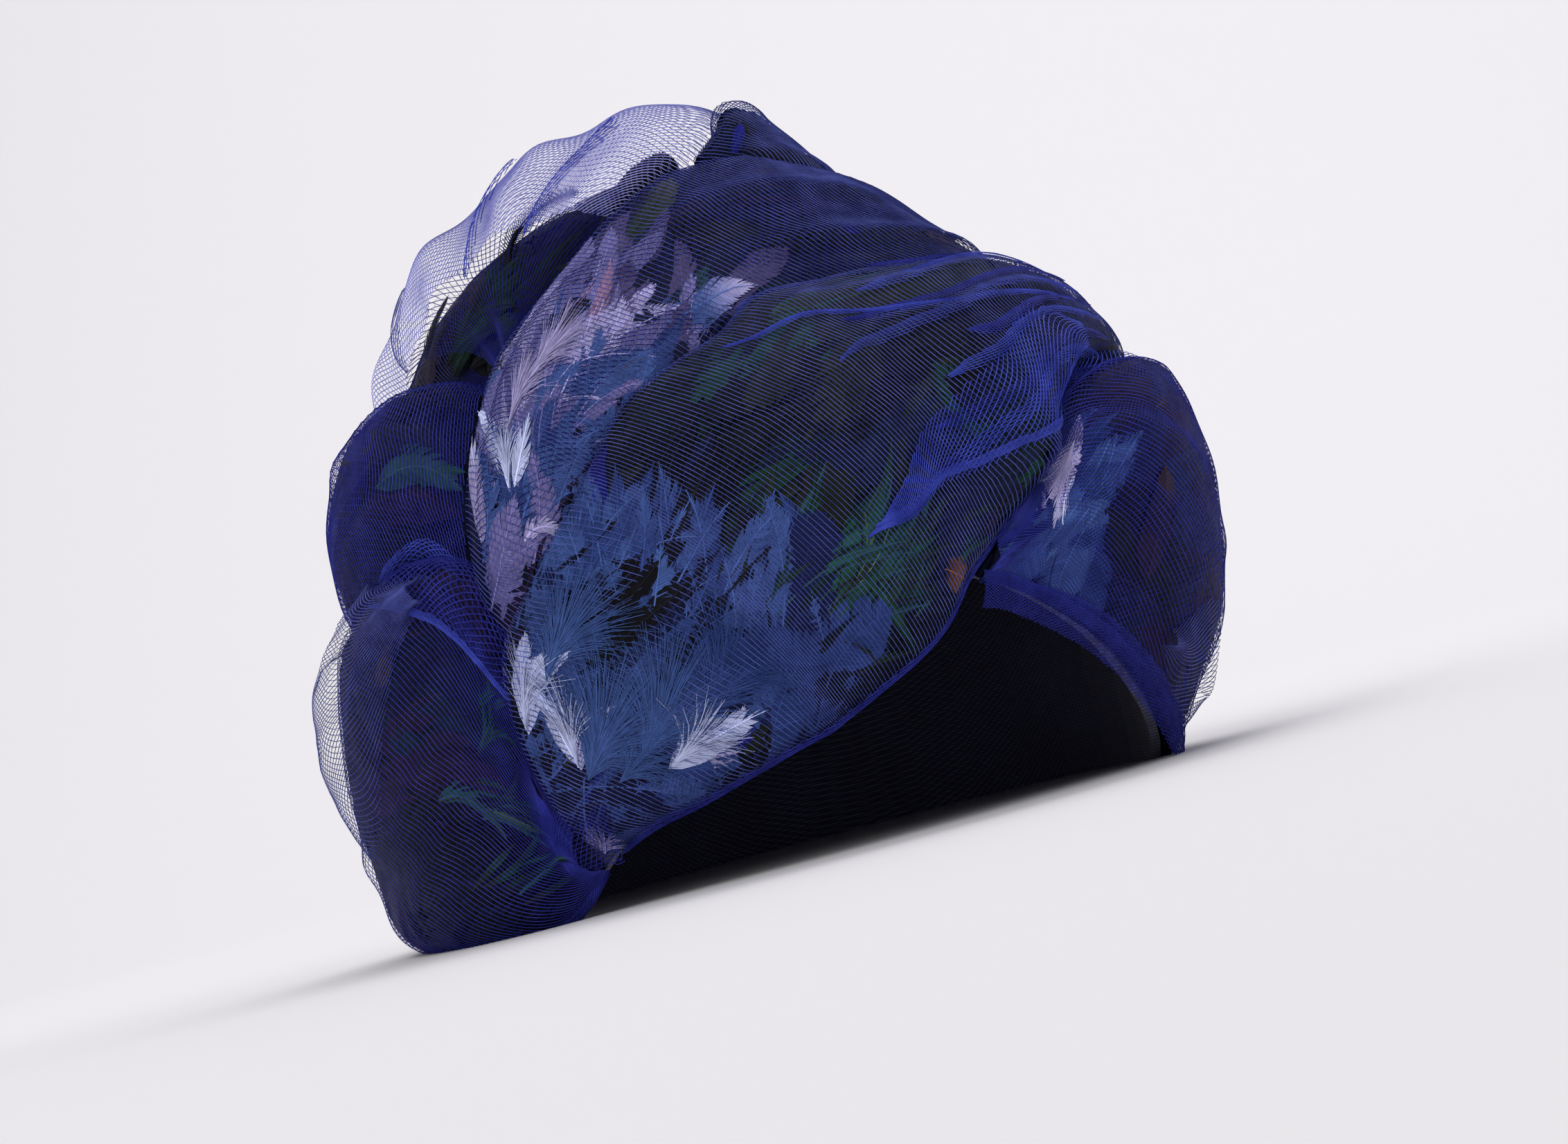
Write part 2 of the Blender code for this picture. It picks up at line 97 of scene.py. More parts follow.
BROW_LEFT = ((0.5, 171), (-4, 173), (-9, 177), (-15, 182), (-22, 188), (-30, 196), (-40, 206),
             (-52, 216), (-66, 225), (-82, 226), (-100, 226), (-120, 226), (-140, 226), (-159.7, 226))
LEFT_TOP = ((-6, 162.5), (-14.5, 154), (-19.5, 143.5), (-26, 136.5), (-34, 133.5), (-43, 132.5),
            (-54, 134), (-66, 136), (-81, 139.5), (-97, 143), (-115, 147.3), (-132, 151.8),
            (-146, 154.5), (-161.5, 150.5))
SHOULDER_LOW = ((69.5, 90), (76, 87), (86, 87), (95, 88.5), (107, 93), (124, 101), (141, 105.5),
                (158, 107.5), (176, 108), (192, 107.5), (206, 105.5))
LOW_TOP = ((68.5, 203), (71.2, 184), (70.5, 164)) + tuple((turn, drop + 0.5) for turn, drop in SIDE[:10])

# A swathe runs along its two seams. Heights and belly have one value for each row of its seams.
# low_round and high_round are the widths of its rounded edges.
Swathe = namedtuple("Swathe", "low high low_height high_height belly low_round high_round")
SWATHES = {
    "front_swathe_right": Swathe(
        CROSSING, WRAP,
        (8, 8, 9, 9, 9, 9, 9, 9, 9, 10, 12, 14, 15, 16, 16, 16, 15, 14, 12),
        (10, 13, 15, 15, 15, 15, 15, 15, 15, 15, 15, 17, 19, 20, 19, 17, 15, 14, 12),
        (1, 2, 4, 5, 5, 5, 5, 5, 4, 3, 3, 2, 2, 1, 1, 1, 1, 1, 1), 6, 7),
    "front_swathe_left": Swathe(
        BROW_LEFT, LEFT_TOP,
        (6, 6, 7, 7, 8, 9, 11, 12, 13, 13, 12, 12, 12, 11),
        (5, 6, 7, 12, 16, 20, 22, 22, 20, 17, 14, 12, 10, 9),
        (1, 2, 4, 7, 8, 7, 6, 6, 6, 7, 7, 7, 6, 4), 28, 6),
    "crown_swathe_front": Swathe(
        WRAP[2:], FOLD,
        (8, 9, 9, 9, 9, 9, 9, 9, 9, 9, 10, 11, 12, 12, 12, 11, 10),
        (9, 13, 15, 16, 16, 16, 16, 16, 16, 17, 17, 17, 16, 15, 14, 13, 11),
        (1, 2, 3, 3, 3, 3, 3, 3, 3, 3, 2, 2, 1, 1, 1, 1, 1), 3, 6),
    "crown_swathe_top": Swathe(
        FOLD[8:], PEAK,
        (13, 14, 14, 14, 13, 12, 11, 10, 8),
        (15, 19, 21, 21, 18, 15, 13, 11, 9),
        (1, 2, 3, 3, 2, 2, 2, 2, 1), 3, 5),
    "crown_swathe_back": Swathe(
        SHOULDER, FOLD[3:8] + PEAK,
        (6,) * 14,
        (6, 5, 4, 3, 3, 3, 3, 3, 3, 3, 3, 4, 4, 5),
        (0, 1, 4, 7, 9, 9, 9, 9, 8, 7, 5, 3, 1, 0), 2, 2),
    "side_swathe_right_mid": Swathe(
        SIDE, SHOULDER_LOW,
        (8, 9, 9, 9, 9, 9, 9, 9, 9, 9, 8),
        (10, 14, 17, 17, 17, 16, 15, 14, 13, 12, 10),
        (1, 3, 4, 4, 4, 4, 3, 3, 3, 3, 2), 3, 7),
    "side_swathe_right_low": Swathe(
        NAPE, LOW_TOP,
        (9, 11, 14, 16, 17, 17, 17, 17, 16, 16, 16, 16, 15),
        (9, 10, 11, 13, 15, 16, 16, 15, 15, 15, 14, 14, 14),
        (0, 1, 2, 3, 3.5, 3.5, 3.5, 3.5, 3, 3, 3, 2, 1), 13, 5),
}
LONG_SLOPE = 20


def column_at(column, drop):
    """One column of RINGS at a drop, by cubic segments with averaged slopes."""
    xs = np.array([ring.drop for ring in RINGS], float)
    ys = np.array([getattr(ring, column) for ring in RINGS], float)
    slopes = np.gradient(ys, xs)
    drop = np.clip(drop, xs[0], xs[-1])
    i = np.clip(np.searchsorted(xs, drop, side="right") - 1, 0, len(xs) - 2)
    span = xs[i + 1] - xs[i]
    t = (drop - xs[i]) / span
    start = ys[i] * (1 + 2 * t) * (1 - t) ** 2 + slopes[i] * span * t * (1 - t) ** 2
    end = ys[i + 1] * t * t * (3 - 2 * t) + slopes[i + 1] * span * t * t * (t - 1)
    return start + end


def crown_shift():
    """The solids are centred on their outline; the crown's box gives by how much."""
    low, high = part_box("crown_base")
    back = RINGS[-1].form_y + RINGS[-1].centre_y
    return np.array([(low.x + high.x) / 2 / MM, high.y / MM - back, 0.0])


SHIFT = crown_shift()


def place(chart, height):
    """World points, in millimetres, of chart points at a height above the crown's outer face."""
    chart = np.asarray(chart, float)
    p = chart[..., 0]
    q = chart[..., 1]
    drop = np.hypot(p, q)
    safe = np.maximum(drop, 1e-6)
    across = p / safe
    along = q / safe
    taper = 1 - BROW_TAPER * np.maximum(-along, 0) ** BROW_POWER
    centre_y = column_at("centre_y", drop)

    def at(kind):
        x = column_at(kind + "_x", drop) * across * taper
        y = column_at(kind + "_y", drop) * along + centre_y
        return np.stack([x, y, column_at(kind + "_z", drop)], -1)

    form = at("form")
    return form + unit(at("full") - form) * np.asarray(height, float)[..., None] + SHIFT


def unit(vectors):
    """The vectors at a length of one."""
    return vectors / np.maximum(np.linalg.norm(vectors, axis=-1), 1e-9)[..., None]


def chart_points(turn, drop):
    """Turn and drop as a flat chart of the dome, seen from above."""
    angle = np.radians(turn)
    return np.stack([-drop * np.sin(angle), -drop * np.cos(angle)], -1)


def resampled(rows, count):
    """A smooth curve through rows of values, read at a number of even steps."""
    rows = np.asarray(rows, float)
    padded = np.concatenate([[2 * rows[0] - rows[1]], rows, [2 * rows[-1] - rows[-2]]])
    x = np.linspace(0, len(rows) - 1, count)
    i = np.minimum(x.astype(int), len(rows) - 2)
    t = (x - i)[:, None]
    a, b, c, d = padded[i], padded[i + 1], padded[i + 2], padded[i + 3]
    return 0.5 * (2 * b + (c - a) * t + (2 * a - 5 * b + 4 * c - d) * t * t
                  + (3 * b - a - 3 * c + d) * t ** 3)


def seam_line(seam, count):
    seam = np.array(seam, float)
    return resampled(chart_points(seam[:, 0], seam[:, 1]), count)


# the least width, in millimetres, that a feather's shape is worked out for
LEAST_ACROSS = 4.0


class Skin:
    """A surface as a grid of points in millimetres, looked up by two shares: s along and t across."""

    def __init__(self, grid, outward):
        self.grid = grid
        self.shape = np.array(grid.shape[:2]) - 1
        self.ds = np.gradient(grid, axis=0) * self.shape[0]
        self.dt = np.gradient(grid, axis=1) * self.shape[1]
        normal = unit(np.cross(self.ds, self.dt))
        # 1 where s, t and the outward direction are right-handed, or else -1
        self.hand = np.sign((normal * outward).sum(-1).mean())
        self.normal = normal * self.hand
        self.length = float(np.linalg.norm(np.diff(grid[:, grid.shape[1] // 2], axis=0), axis=1).sum())
        self.width = float(np.linalg.norm(np.diff(grid, axis=1), axis=2).sum(1).max())

    def read(self, field, s, t):
        """The value at (s, t) of a field that has one for each grid point."""
        x = np.clip(s, 0, 1) * self.shape[0]
        y = np.clip(t, 0, 1) * self.shape[1]
        i = np.minimum(x.astype(int), self.shape[0] - 1)
        j = np.minimum(y.astype(int), self.shape[1] - 1)
        u = (x - i)[..., None]
        v = (y - j)[..., None]
        return (field[i, j] * (1 - u) * (1 - v) + field[i + 1, j] * u * (1 - v)
                + field[i, j + 1] * (1 - u) * v + field[i + 1, j + 1] * u * v)

    def at(self, s, t, lift):
        """Points in millimetres, lifted off the surface."""
        return self.read(self.grid, s, t) + self.read(self.normal, s, t) * np.asarray(lift)[..., None]

    def steps(self, s, t):
        """Millimetres for a whole unit of s and of t."""
        return (np.linalg.norm(self.read(self.ds, s, t), axis=-1),
                np.maximum(np.linalg.norm(self.read(self.dt, s, t), axis=-1), LEAST_ACROSS))


def chart_skin(chart, rise):
    """The skin of a grid of chart points at given heights above the crown."""
    points = place(chart, rise)
    return Skin(points, place(chart, rise + 1) - points)


SKIN_ROWS = 240
SKIN_COLUMNS = 72
SECTION_STEPS = 160
# the feathers' skin lies this far inside the solid's outer face, and its edges close to the crown
SINK = 0.4
EDGE_HEIGHT = 1.3
# the gap at each seam in millimetres, and the most of a swathe's width that gap and round edge take
SEAM_GAP = 0.6
GAP_LIMIT = 0.2
ROUND_LIMIT = 0.42
# powers of the rounded edges, the first for a swathe that slopes over most of its width
SLOPE_ROUNDNESS = 1.25
ROUNDNESS = 2.4


def rounded(share, power):
    """Rises from 0 to 1 as a round shoulder."""
    return (1 - (1 - np.clip(share, 0, 1)) ** power) ** (1 / power)


def swathe_skin(swathe):
    """A swathe's outer face, sunk a little inside the solid, with rounded edges."""
    low = seam_line(swathe.low, SKIN_ROWS)
    high = seam_line(swathe.high, SKIN_ROWS)
    heights = resampled(list(zip(swathe.low_height, swathe.high_height, swathe.belly)), SKIN_ROWS)
    width = np.linalg.norm(high - low, axis=1)
    across = unit(high - low)
    gap = np.minimum(SEAM_GAP, width * GAP_LIMIT)
    low = low + across * gap[:, None]
    width = width - 2 * gap
    share = (1 - np.cos(np.linspace(0, math.pi, SECTION_STEPS))) / 2
    grid = np.zeros((SKIN_ROWS, SKIN_COLUMNS, 3))
    outward = np.zeros_like(grid)
    for i in range(SKIN_ROWS):
        offset = share * width[i]
        low_round = min(swathe.low_round, ROUND_LIMIT * width[i])
        high_round = min(swathe.high_round, ROUND_LIMIT * width[i])
        full = heights[i, 0] + (heights[i, 1] - heights[i, 0]) * share
        full = full + heights[i, 2] * np.sin(math.pi * share)
        power = SLOPE_ROUNDNESS if swathe.low_round > LONG_SLOPE else ROUNDNESS
        edge = rounded(offset / low_round, power) * rounded((width[i] - offset) / high_round, ROUNDNESS)
        height = EDGE_HEIGHT + (full - SINK - EDGE_HEIGHT) * edge
        chart = low[i] + across[i] * offset[:, None]
        points = place(chart, height)
        walked = np.concatenate([[0], np.cumsum(np.linalg.norm(np.diff(points, axis=0), axis=1))])
        even = np.linspace(0, walked[-1], SKIN_COLUMNS)
        away = place(chart, height + 1) - points
        for axis in range(3):
            grid[i, :, axis] = np.interp(even, walked, points[:, axis])
            outward[i, :, axis] = np.interp(even, walked, away[:, axis])
    return Skin(grid, outward)


def linked(name, data):
    """A new object in the scene."""
    obj = bpy.data.objects.new(name, data)
    bpy.context.scene.collection.objects.link(obj)
    return obj


def mesh_piece(name, points, faces, material, smooth=True, colours=None, values=None):
    """An object from arrays: points in millimetres, faces of three or four corners."""
    mesh = bpy.data.meshes.new(name)
    corners = faces.shape[1]
    mesh.vertices.add(len(points))
    mesh.vertices.foreach_set("co", (points * MM).astype(np.float32).ravel())
    mesh.loops.add(faces.size)
    mesh.loops.foreach_set("vertex_index", faces.astype(np.int32).ravel())
    mesh.polygons.add(len(faces))
    mesh.polygons.foreach_set("loop_start", np.arange(0, faces.size, corners, dtype=np.int32))
    mesh.polygons.foreach_set("use_smooth", np.full(len(faces), smooth))
    if colours is not None:
        layer = mesh.attributes.new("tint", "FLOAT_COLOR", "POINT")
        rgba = np.concatenate([colours, np.ones((len(colours), 1))], 1)
        layer.data.foreach_set("color", rgba.astype(np.float32).ravel())
    for key, value in (values or {}).items():
        layer = mesh.attributes.new(key, "FLOAT", "POINT")
        layer.data.foreach_set("value", value.astype(np.float32))
    mesh.update(calc_edges=True)
    mesh.validate()
    mesh.materials.append(material)
    obj = linked(name, mesh)
    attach(obj, "root")
    return obj


def grid_faces(rows, columns, flip=False):
    index = np.arange(rows * columns).reshape(rows, columns)
    faces = np.stack([index[:-1, :-1], index[1:, :-1], index[1:, 1:], index[:-1, 1:]], -1).reshape(-1, 4)
    return faces[:, ::-1] if flip else faces


def strip_triangles(bars):
    """Triangles of a strip whose corners come in pairs, one pair for each cross bar."""
    k = 2 * np.arange(bars - 1)
    return np.stack([k, k + 1, k + 3, k, k + 3, k + 2], -1).reshape(-1, 3)


class Material:
    """A node material: its links and its principled shader."""

    def __init__(self, name, **inputs):
        self.material = bpy.data.materials.new(name)
        self.material.use_nodes = True
        self.tree = self.material.node_tree
        self.shader = self.tree.nodes["Principled BSDF"]
        for key, value in inputs.items():
            self.shader.inputs[key.replace("_", " ")].default_value = value

    def node(self, kind, settings=None, **links):
        node = self.tree.nodes.new("ShaderNode" + kind)
        for key, value in (settings or {}).items():
            setattr(node, key, value)
        for key, value in links.items():
            socket = node.inputs[int(key[1:])] if key[0] == "_" else node.inputs[key.replace("_", " ")]
            if isinstance(value, bpy.types.NodeSocket):
                self.tree.links.new(value, socket)
            else:
                socket.default_value = value
        return node

    def ramp(self, factor, stops):
        node = self.node("ValToRGB", Fac=factor)
        while len(node.color_ramp.elements) < len(stops):
            node.color_ramp.elements.new(0.5)
        for element, (position, colour) in zip(node.color_ramp.elements, stops):
            element.position = position
            element.color = (*colour, 1)
        return node.outputs["Color"]

    def mixed(self, factor, a, b, blend="MIX"):
        node = self.node("Mix", {"data_type": "RGBA", "blend_type": blend}, _0=factor, _6=a, _7=b)
        return node.outputs[2]

    def maths(self, operation, a, b=0.0):
        return self.node("Math", {"operation": operation}, _0=a, _1=b).outputs[0]

    def attribute(self, name):
        return self.node("Attribute", {"attribute_name": name})

    def noise(self, scale, detail=4.0, roughness=0.6, stretch=(1, 1, 1)):
        place_of = self.node("TexCoord").outputs["Object"]
        mapped = self.node("Mapping", Vector=place_of, Scale=stretch).outputs["Vector"]
        return self.node("TexNoise", Vector=mapped, Scale=scale, Detail=detail,
                         Roughness=roughness).outputs["Fac"]

    def colour(self, socket):
        self.tree.links.new(socket, self.shader.inputs["Base Color"])

    def roughness(self, socket):
        self.tree.links.new(socket, self.shader.inputs["Roughness"])

    def bump(self, height, strength, distance):
        bump = self.node("Bump", Height=height, Strength=strength, Distance=distance)
        self.tree.links.new(bump.outputs["Normal"], self.shader.inputs["Normal"])


SHEEN = (0.06, 0.08, 0.55)


def feather_material():
    """Barbs run as fine stripes, and a painted green sheen, standing for the feathers' iridescence, comes in
    soft patches where shine allows it.
    """
    m = Material("feather_vane", Specular_IOR_Level=0.08, Sheen_Weight=0.06, Sheen_Roughness=0.3,
                 Sheen_Tint=(*SHEEN, 1))
    tint = m.attribute("tint").outputs["Color"]
    shine = m.attribute("shine").outputs["Fac"]
    stripe = m.maths("SINE", m.maths("MULTIPLY", m.attribute("barb").outputs["Fac"], 13.0))
    stripe = m.maths("ADD", m.maths("MULTIPLY", stripe, 0.5), 0.5)
    # painted sheen: noise patches, scaled by the shine attribute, mix a bright green into the base colour
    sheen_patch = m.ramp(m.noise(45, 3), [(0.36, (0, 0, 0)), (0.6, (1, 1, 1))])
    painted_sheen_mask = m.maths("MULTIPLY", m.node("RGBToBW", Color=sheen_patch).outputs[0], shine)
    painted_sheen_green = m.ramp(m.noise(95, 2), [(0.35, (0.03, 0.06, 0.015)), (0.5, (0.02, 0.13, 0.05)),
                                    (0.68, (0.04, 0.22, 0.13))])
    body = m.mixed(painted_sheen_mask, tint, painted_sheen_green)
    shade = m.ramp(stripe, [(0.0, (0.70, 0.70, 0.70)), (1.0, (1.14, 1.14, 1.14))])
    body = m.mixed(1.0, body, shade, "MULTIPLY")
    mottled = m.ramp(m.noise(220, 4), [(0.3, (0.8, 0.8, 0.8)), (0.75, (1.18, 1.18, 1.18))])
    m.colour(m.mixed(1.0, body, mottled, "MULTIPLY"))
    m.roughness(m.maths("ADD", m.maths("MULTIPLY", m.noise(60), 0.3), 0.40))
    m.bump(stripe, 0.35, 0.0002)
    return m.material


def backing_material():
    """Dark down under the feathers."""
    m = Material("backing_down", Roughness=0.8, Specular_IOR_Level=0.0, Sheen_Weight=0.08,
                 Sheen_Roughness=0.3, Sheen_Tint=(*SHEEN, 1))
    m.colour(m.ramp(m.noise(120, 6), [(0.35, (0.004, 0.004, 0.010)), (0.7, (0.014, 0.018, 0.055))]))
    m.bump(m.noise(500, 4, stretch=(1, 1, 0.3)), 0.6, 0.0006)
    return m.material


def net_material(name, dark, light, tie):
    """Nylon thread: its colour wanders a little, and the ties between the rows are darker."""
    m = Material(name, Roughness=0.5, Specular_IOR_Level=0.12)
    thread = m.ramp(m.noise(160, 3), [(0.3, dark), (0.72, light)])
    m.colour(m.mixed(m.attribute("tie").outputs["Fac"], thread, (*tie, 1)))
    m.bump(m.noise(2600, 2), 0.3, 0.00008)
    return m.material


def crown_material():
    """Stiffened cloth, seen inside the hat: a plain weave."""
    m = Material("crown_cloth", Roughness=0.85, Sheen_Weight=0.2)
    place_of = m.node("TexCoord").outputs["Object"]
    warp, weft = (
        m.node("TexWave", {"wave_type": "BANDS", "bands_direction": direction}, Vector=place_of,
               Scale=420.0, Distortion=0.6).outputs["Fac"] for direction in ("Z", "DIAGONAL"))
    weave = m.maths("MULTIPLY", warp, weft)
    tone = m.ramp(weave, [(0.0, (0.040, 0.041, 0.090)), (0.8, (0.140, 0.145, 0.250))])
    worn = m.ramp(m.noise(30, 4), [(0.3, (0.8, 0.8, 0.8)), (0.7, (1.2, 1.2, 1.25))])
    m.colour(m.mixed(1.0, tone, worn, "MULTIPLY"))
    m.bump(weave, 0.5, 0.0003)
    return m.material


FEATHER = feather_material()
BACKING = backing_material()
NET = net_material("net_blue", (0.044, 0.056, 0.25), (0.125, 0.155, 0.52), (0.012, 0.016, 0.11))
# a darker copy of the net for layers under other net and under the pouf: painted shade
NET_UNDER_SHADED = net_material("net_blue_under", (0.007, 0.010, 0.13), (0.018, 0.024, 0.24), (0.003, 0.004, 0.05))
# a brighter copy of the net for hems, folds and their edges: painted highlight where they catch the light
NET_HEM_LIT = net_material("net_blue_hem", (0.034, 0.050, 0.40), (0.085, 0.125, 0.68), (0.016, 0.022, 0.24))
NET_DEEP = net_material("net_blue_deep", (0.020, 0.024, 0.24), (0.050, 0.062, 0.46), (0.010, 0.012, 0.18))
NET_PALE = net_material("net_blue_pale", (0.26, 0.27, 0.70), (0.50, 0.51, 0.90), (0.26, 0.26, 0.68))

# Which material slot each solid has; the loose forms of feathers are added to it below
SLOTS = {part["node"]: part["material_slot"] for part in frame["record"]["subparts"]}
BACKING_THICK = 1.2
BACKING_STEP = 3


def add_backing(name, skin):
    """Closed dark shell under the feathers: the skin, and a face inside it."""
    rows = skin.grid[::BACKING_STEP, ::BACKING_STEP]
    inner = rows - skin.normal[::BACKING_STEP, ::BACKING_STEP] * BACKING_THICK
    count = rows.shape[0] * rows.shape[1]
    faces = grid_faces(*rows.shape[:2], flip=skin.hand < 0)
    points = np.concatenate([rows.reshape(-1, 3), inner.reshape(-1, 3)])
    index = np.arange(count).reshape(rows.shape[:2])
    rim = np.concatenate([index[0, :], index[1:, -1], index[-1, -2::-1], index[-2:0:-1, 0]])
    after = np.roll(rim, -1)
    wall = np.stack([rim, after, after + count, rim + count], -1)
    if skin.hand < 0:
        wall = wall[:, ::-1]
    faces = np.concatenate([faces, faces[:, ::-1] + count, wall])
    piece = mesh_piece(name + "_backing", points, faces, BACKING)
    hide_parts(name)


# Feather colours, linear
BLACK = (0.004, 0.004, 0.007)
NAVY = (0.006, 0.008, 0.032)
OLIVE = (0.013, 0.016, 0.007)
GREEN = (0.010, 0.045, 0.026)
LIME = (0.060, 0.115, 0.030)
MINT = (0.085, 0.23, 0.120)
SAGE = (0.050, 0.055, 0.045)
TEAL = (0.020, 0.065, 0.080)
STEEL = (0.055, 0.108, 0.330)
BLUE = (0.030, 0.060, 0.225)
ULTRAMARINE = (0.012, 0.014, 0.22)
INDIGO = (0.010, 0.016, 0.075)
LILAC = (0.42, 0.38, 0.68)
LAVENDER = (0.19, 0.17, 0.42)
SMOKE = (0.085, 0.065, 0.17)
PINK = (0.34, 0.20, 0.36)
WHITE = (0.55, 0.60, 0.90)
BROWN = (0.060, 0.034, 0.016)
PURPLE = (0.018, 0.008, 0.030)
COPPER = (0.20, 0.075, 0.022)

# barbs is how many a side; round tips have a low taper; ragged is how far the barbs part.
Style = namedtuple("Style", "length half_width barbs taper ragged")
COQUE = Style(62, 9.0, 26, 0.55, 0.2)
BROAD = Style(40, 11.0, 30, 0.5, 0.08)
SHORT = Style(24, 6.0, 18, 0.5, 0.15)
SLIM = Style(48, 3.6, 24, 0.9, 0.25)
POINTED = Style(30, 3.4, 18, 1.6, 0.2)
SPIKE = Style(24, 4.2, 20, 1.7, 0.3)
BRUSH = Style(24, 3.6, 16, 1.2, 1.3)
BLADE = Style(34, 1.5, 20, 1.2, 0.3)
TONGUE = Style(30, 5.5, 24, 1.0, 0.2)
# feathers lie this far above the skin
ROOT_RISE = 0.15
# a vane is widest from this share of its length on, and grows and ends by these powers
VANE_WIDE_FROM = 0.28
VANE_GROWTH = 0.7
VANE_END = 4.5
QUILL_NODES = 8
QUILL_HALF = 0.28
QUILL_TAPER = 0.75
QUILL_CLEAR = 0.12
# a quill is paler than its vane by a factor and by a little more
QUILL_TONE = (1.5, 0.004)
# millimetres by which feathers rise towards their tips and in the middle, and lie over each other
TIP_RISE = 0.7 * 0.75
ARCH = 0.35
OVERLAP = 0.35
# a barb is three cross bars: share along it, share across the vane, half width in barb spacings
BARB_BARS = ((0.0, 0.0, 0.7), (0.40, 0.58, 0.76), (1.0, 1.0, 0.5))
# barbs slant forward, and less so towards the tip, by this power
BARB_SLANT = 0.34
SLANT_POWER = 0.8
LAST_BARB = 0.985
# how strongly barbs part where the vane is ragged
PARTING = 0.54
# how much bends (radians a node), barbs' lengths and barbs' tones differ
BENDS = 0.10
BARB_LENGTHS = 0.03
BARB_TONES = 0.10
# the fine stripe turns by this much over each barb's breadth
STRIPE_BREADTH = 0.35
STRIPE_TURN = 3
# the share of the length where the tip's colour begins, over which it comes in, and its power
TIP_FROM = 0.55
TIP_OVER = 0.4
TIP_POWER = 1.3
# the painted green sheen (shine) is strongest there, and falls off to both sides by this slope
GLOW = 1.2
GLOW_FALL = 2.4
# loose strands start in this many clumps, and bend at these shares of their length
CLUMPS = 6
STRAND_NODES = (0.0, 0.35, 0.7, 1.0)
CLUMP_STRAY = 0.13
STRAND_CURL = 0.25
STRAND_LIFT = 1.6
STRAND_WIDTH = 0.3
STRAND_TAPER = 0.8
# strands start over this share of a tuft's length, and reach at least this share of it
STRAND_START = 0.3
STRAND_REACH = 0.55
STRAND_TONES = 0.12


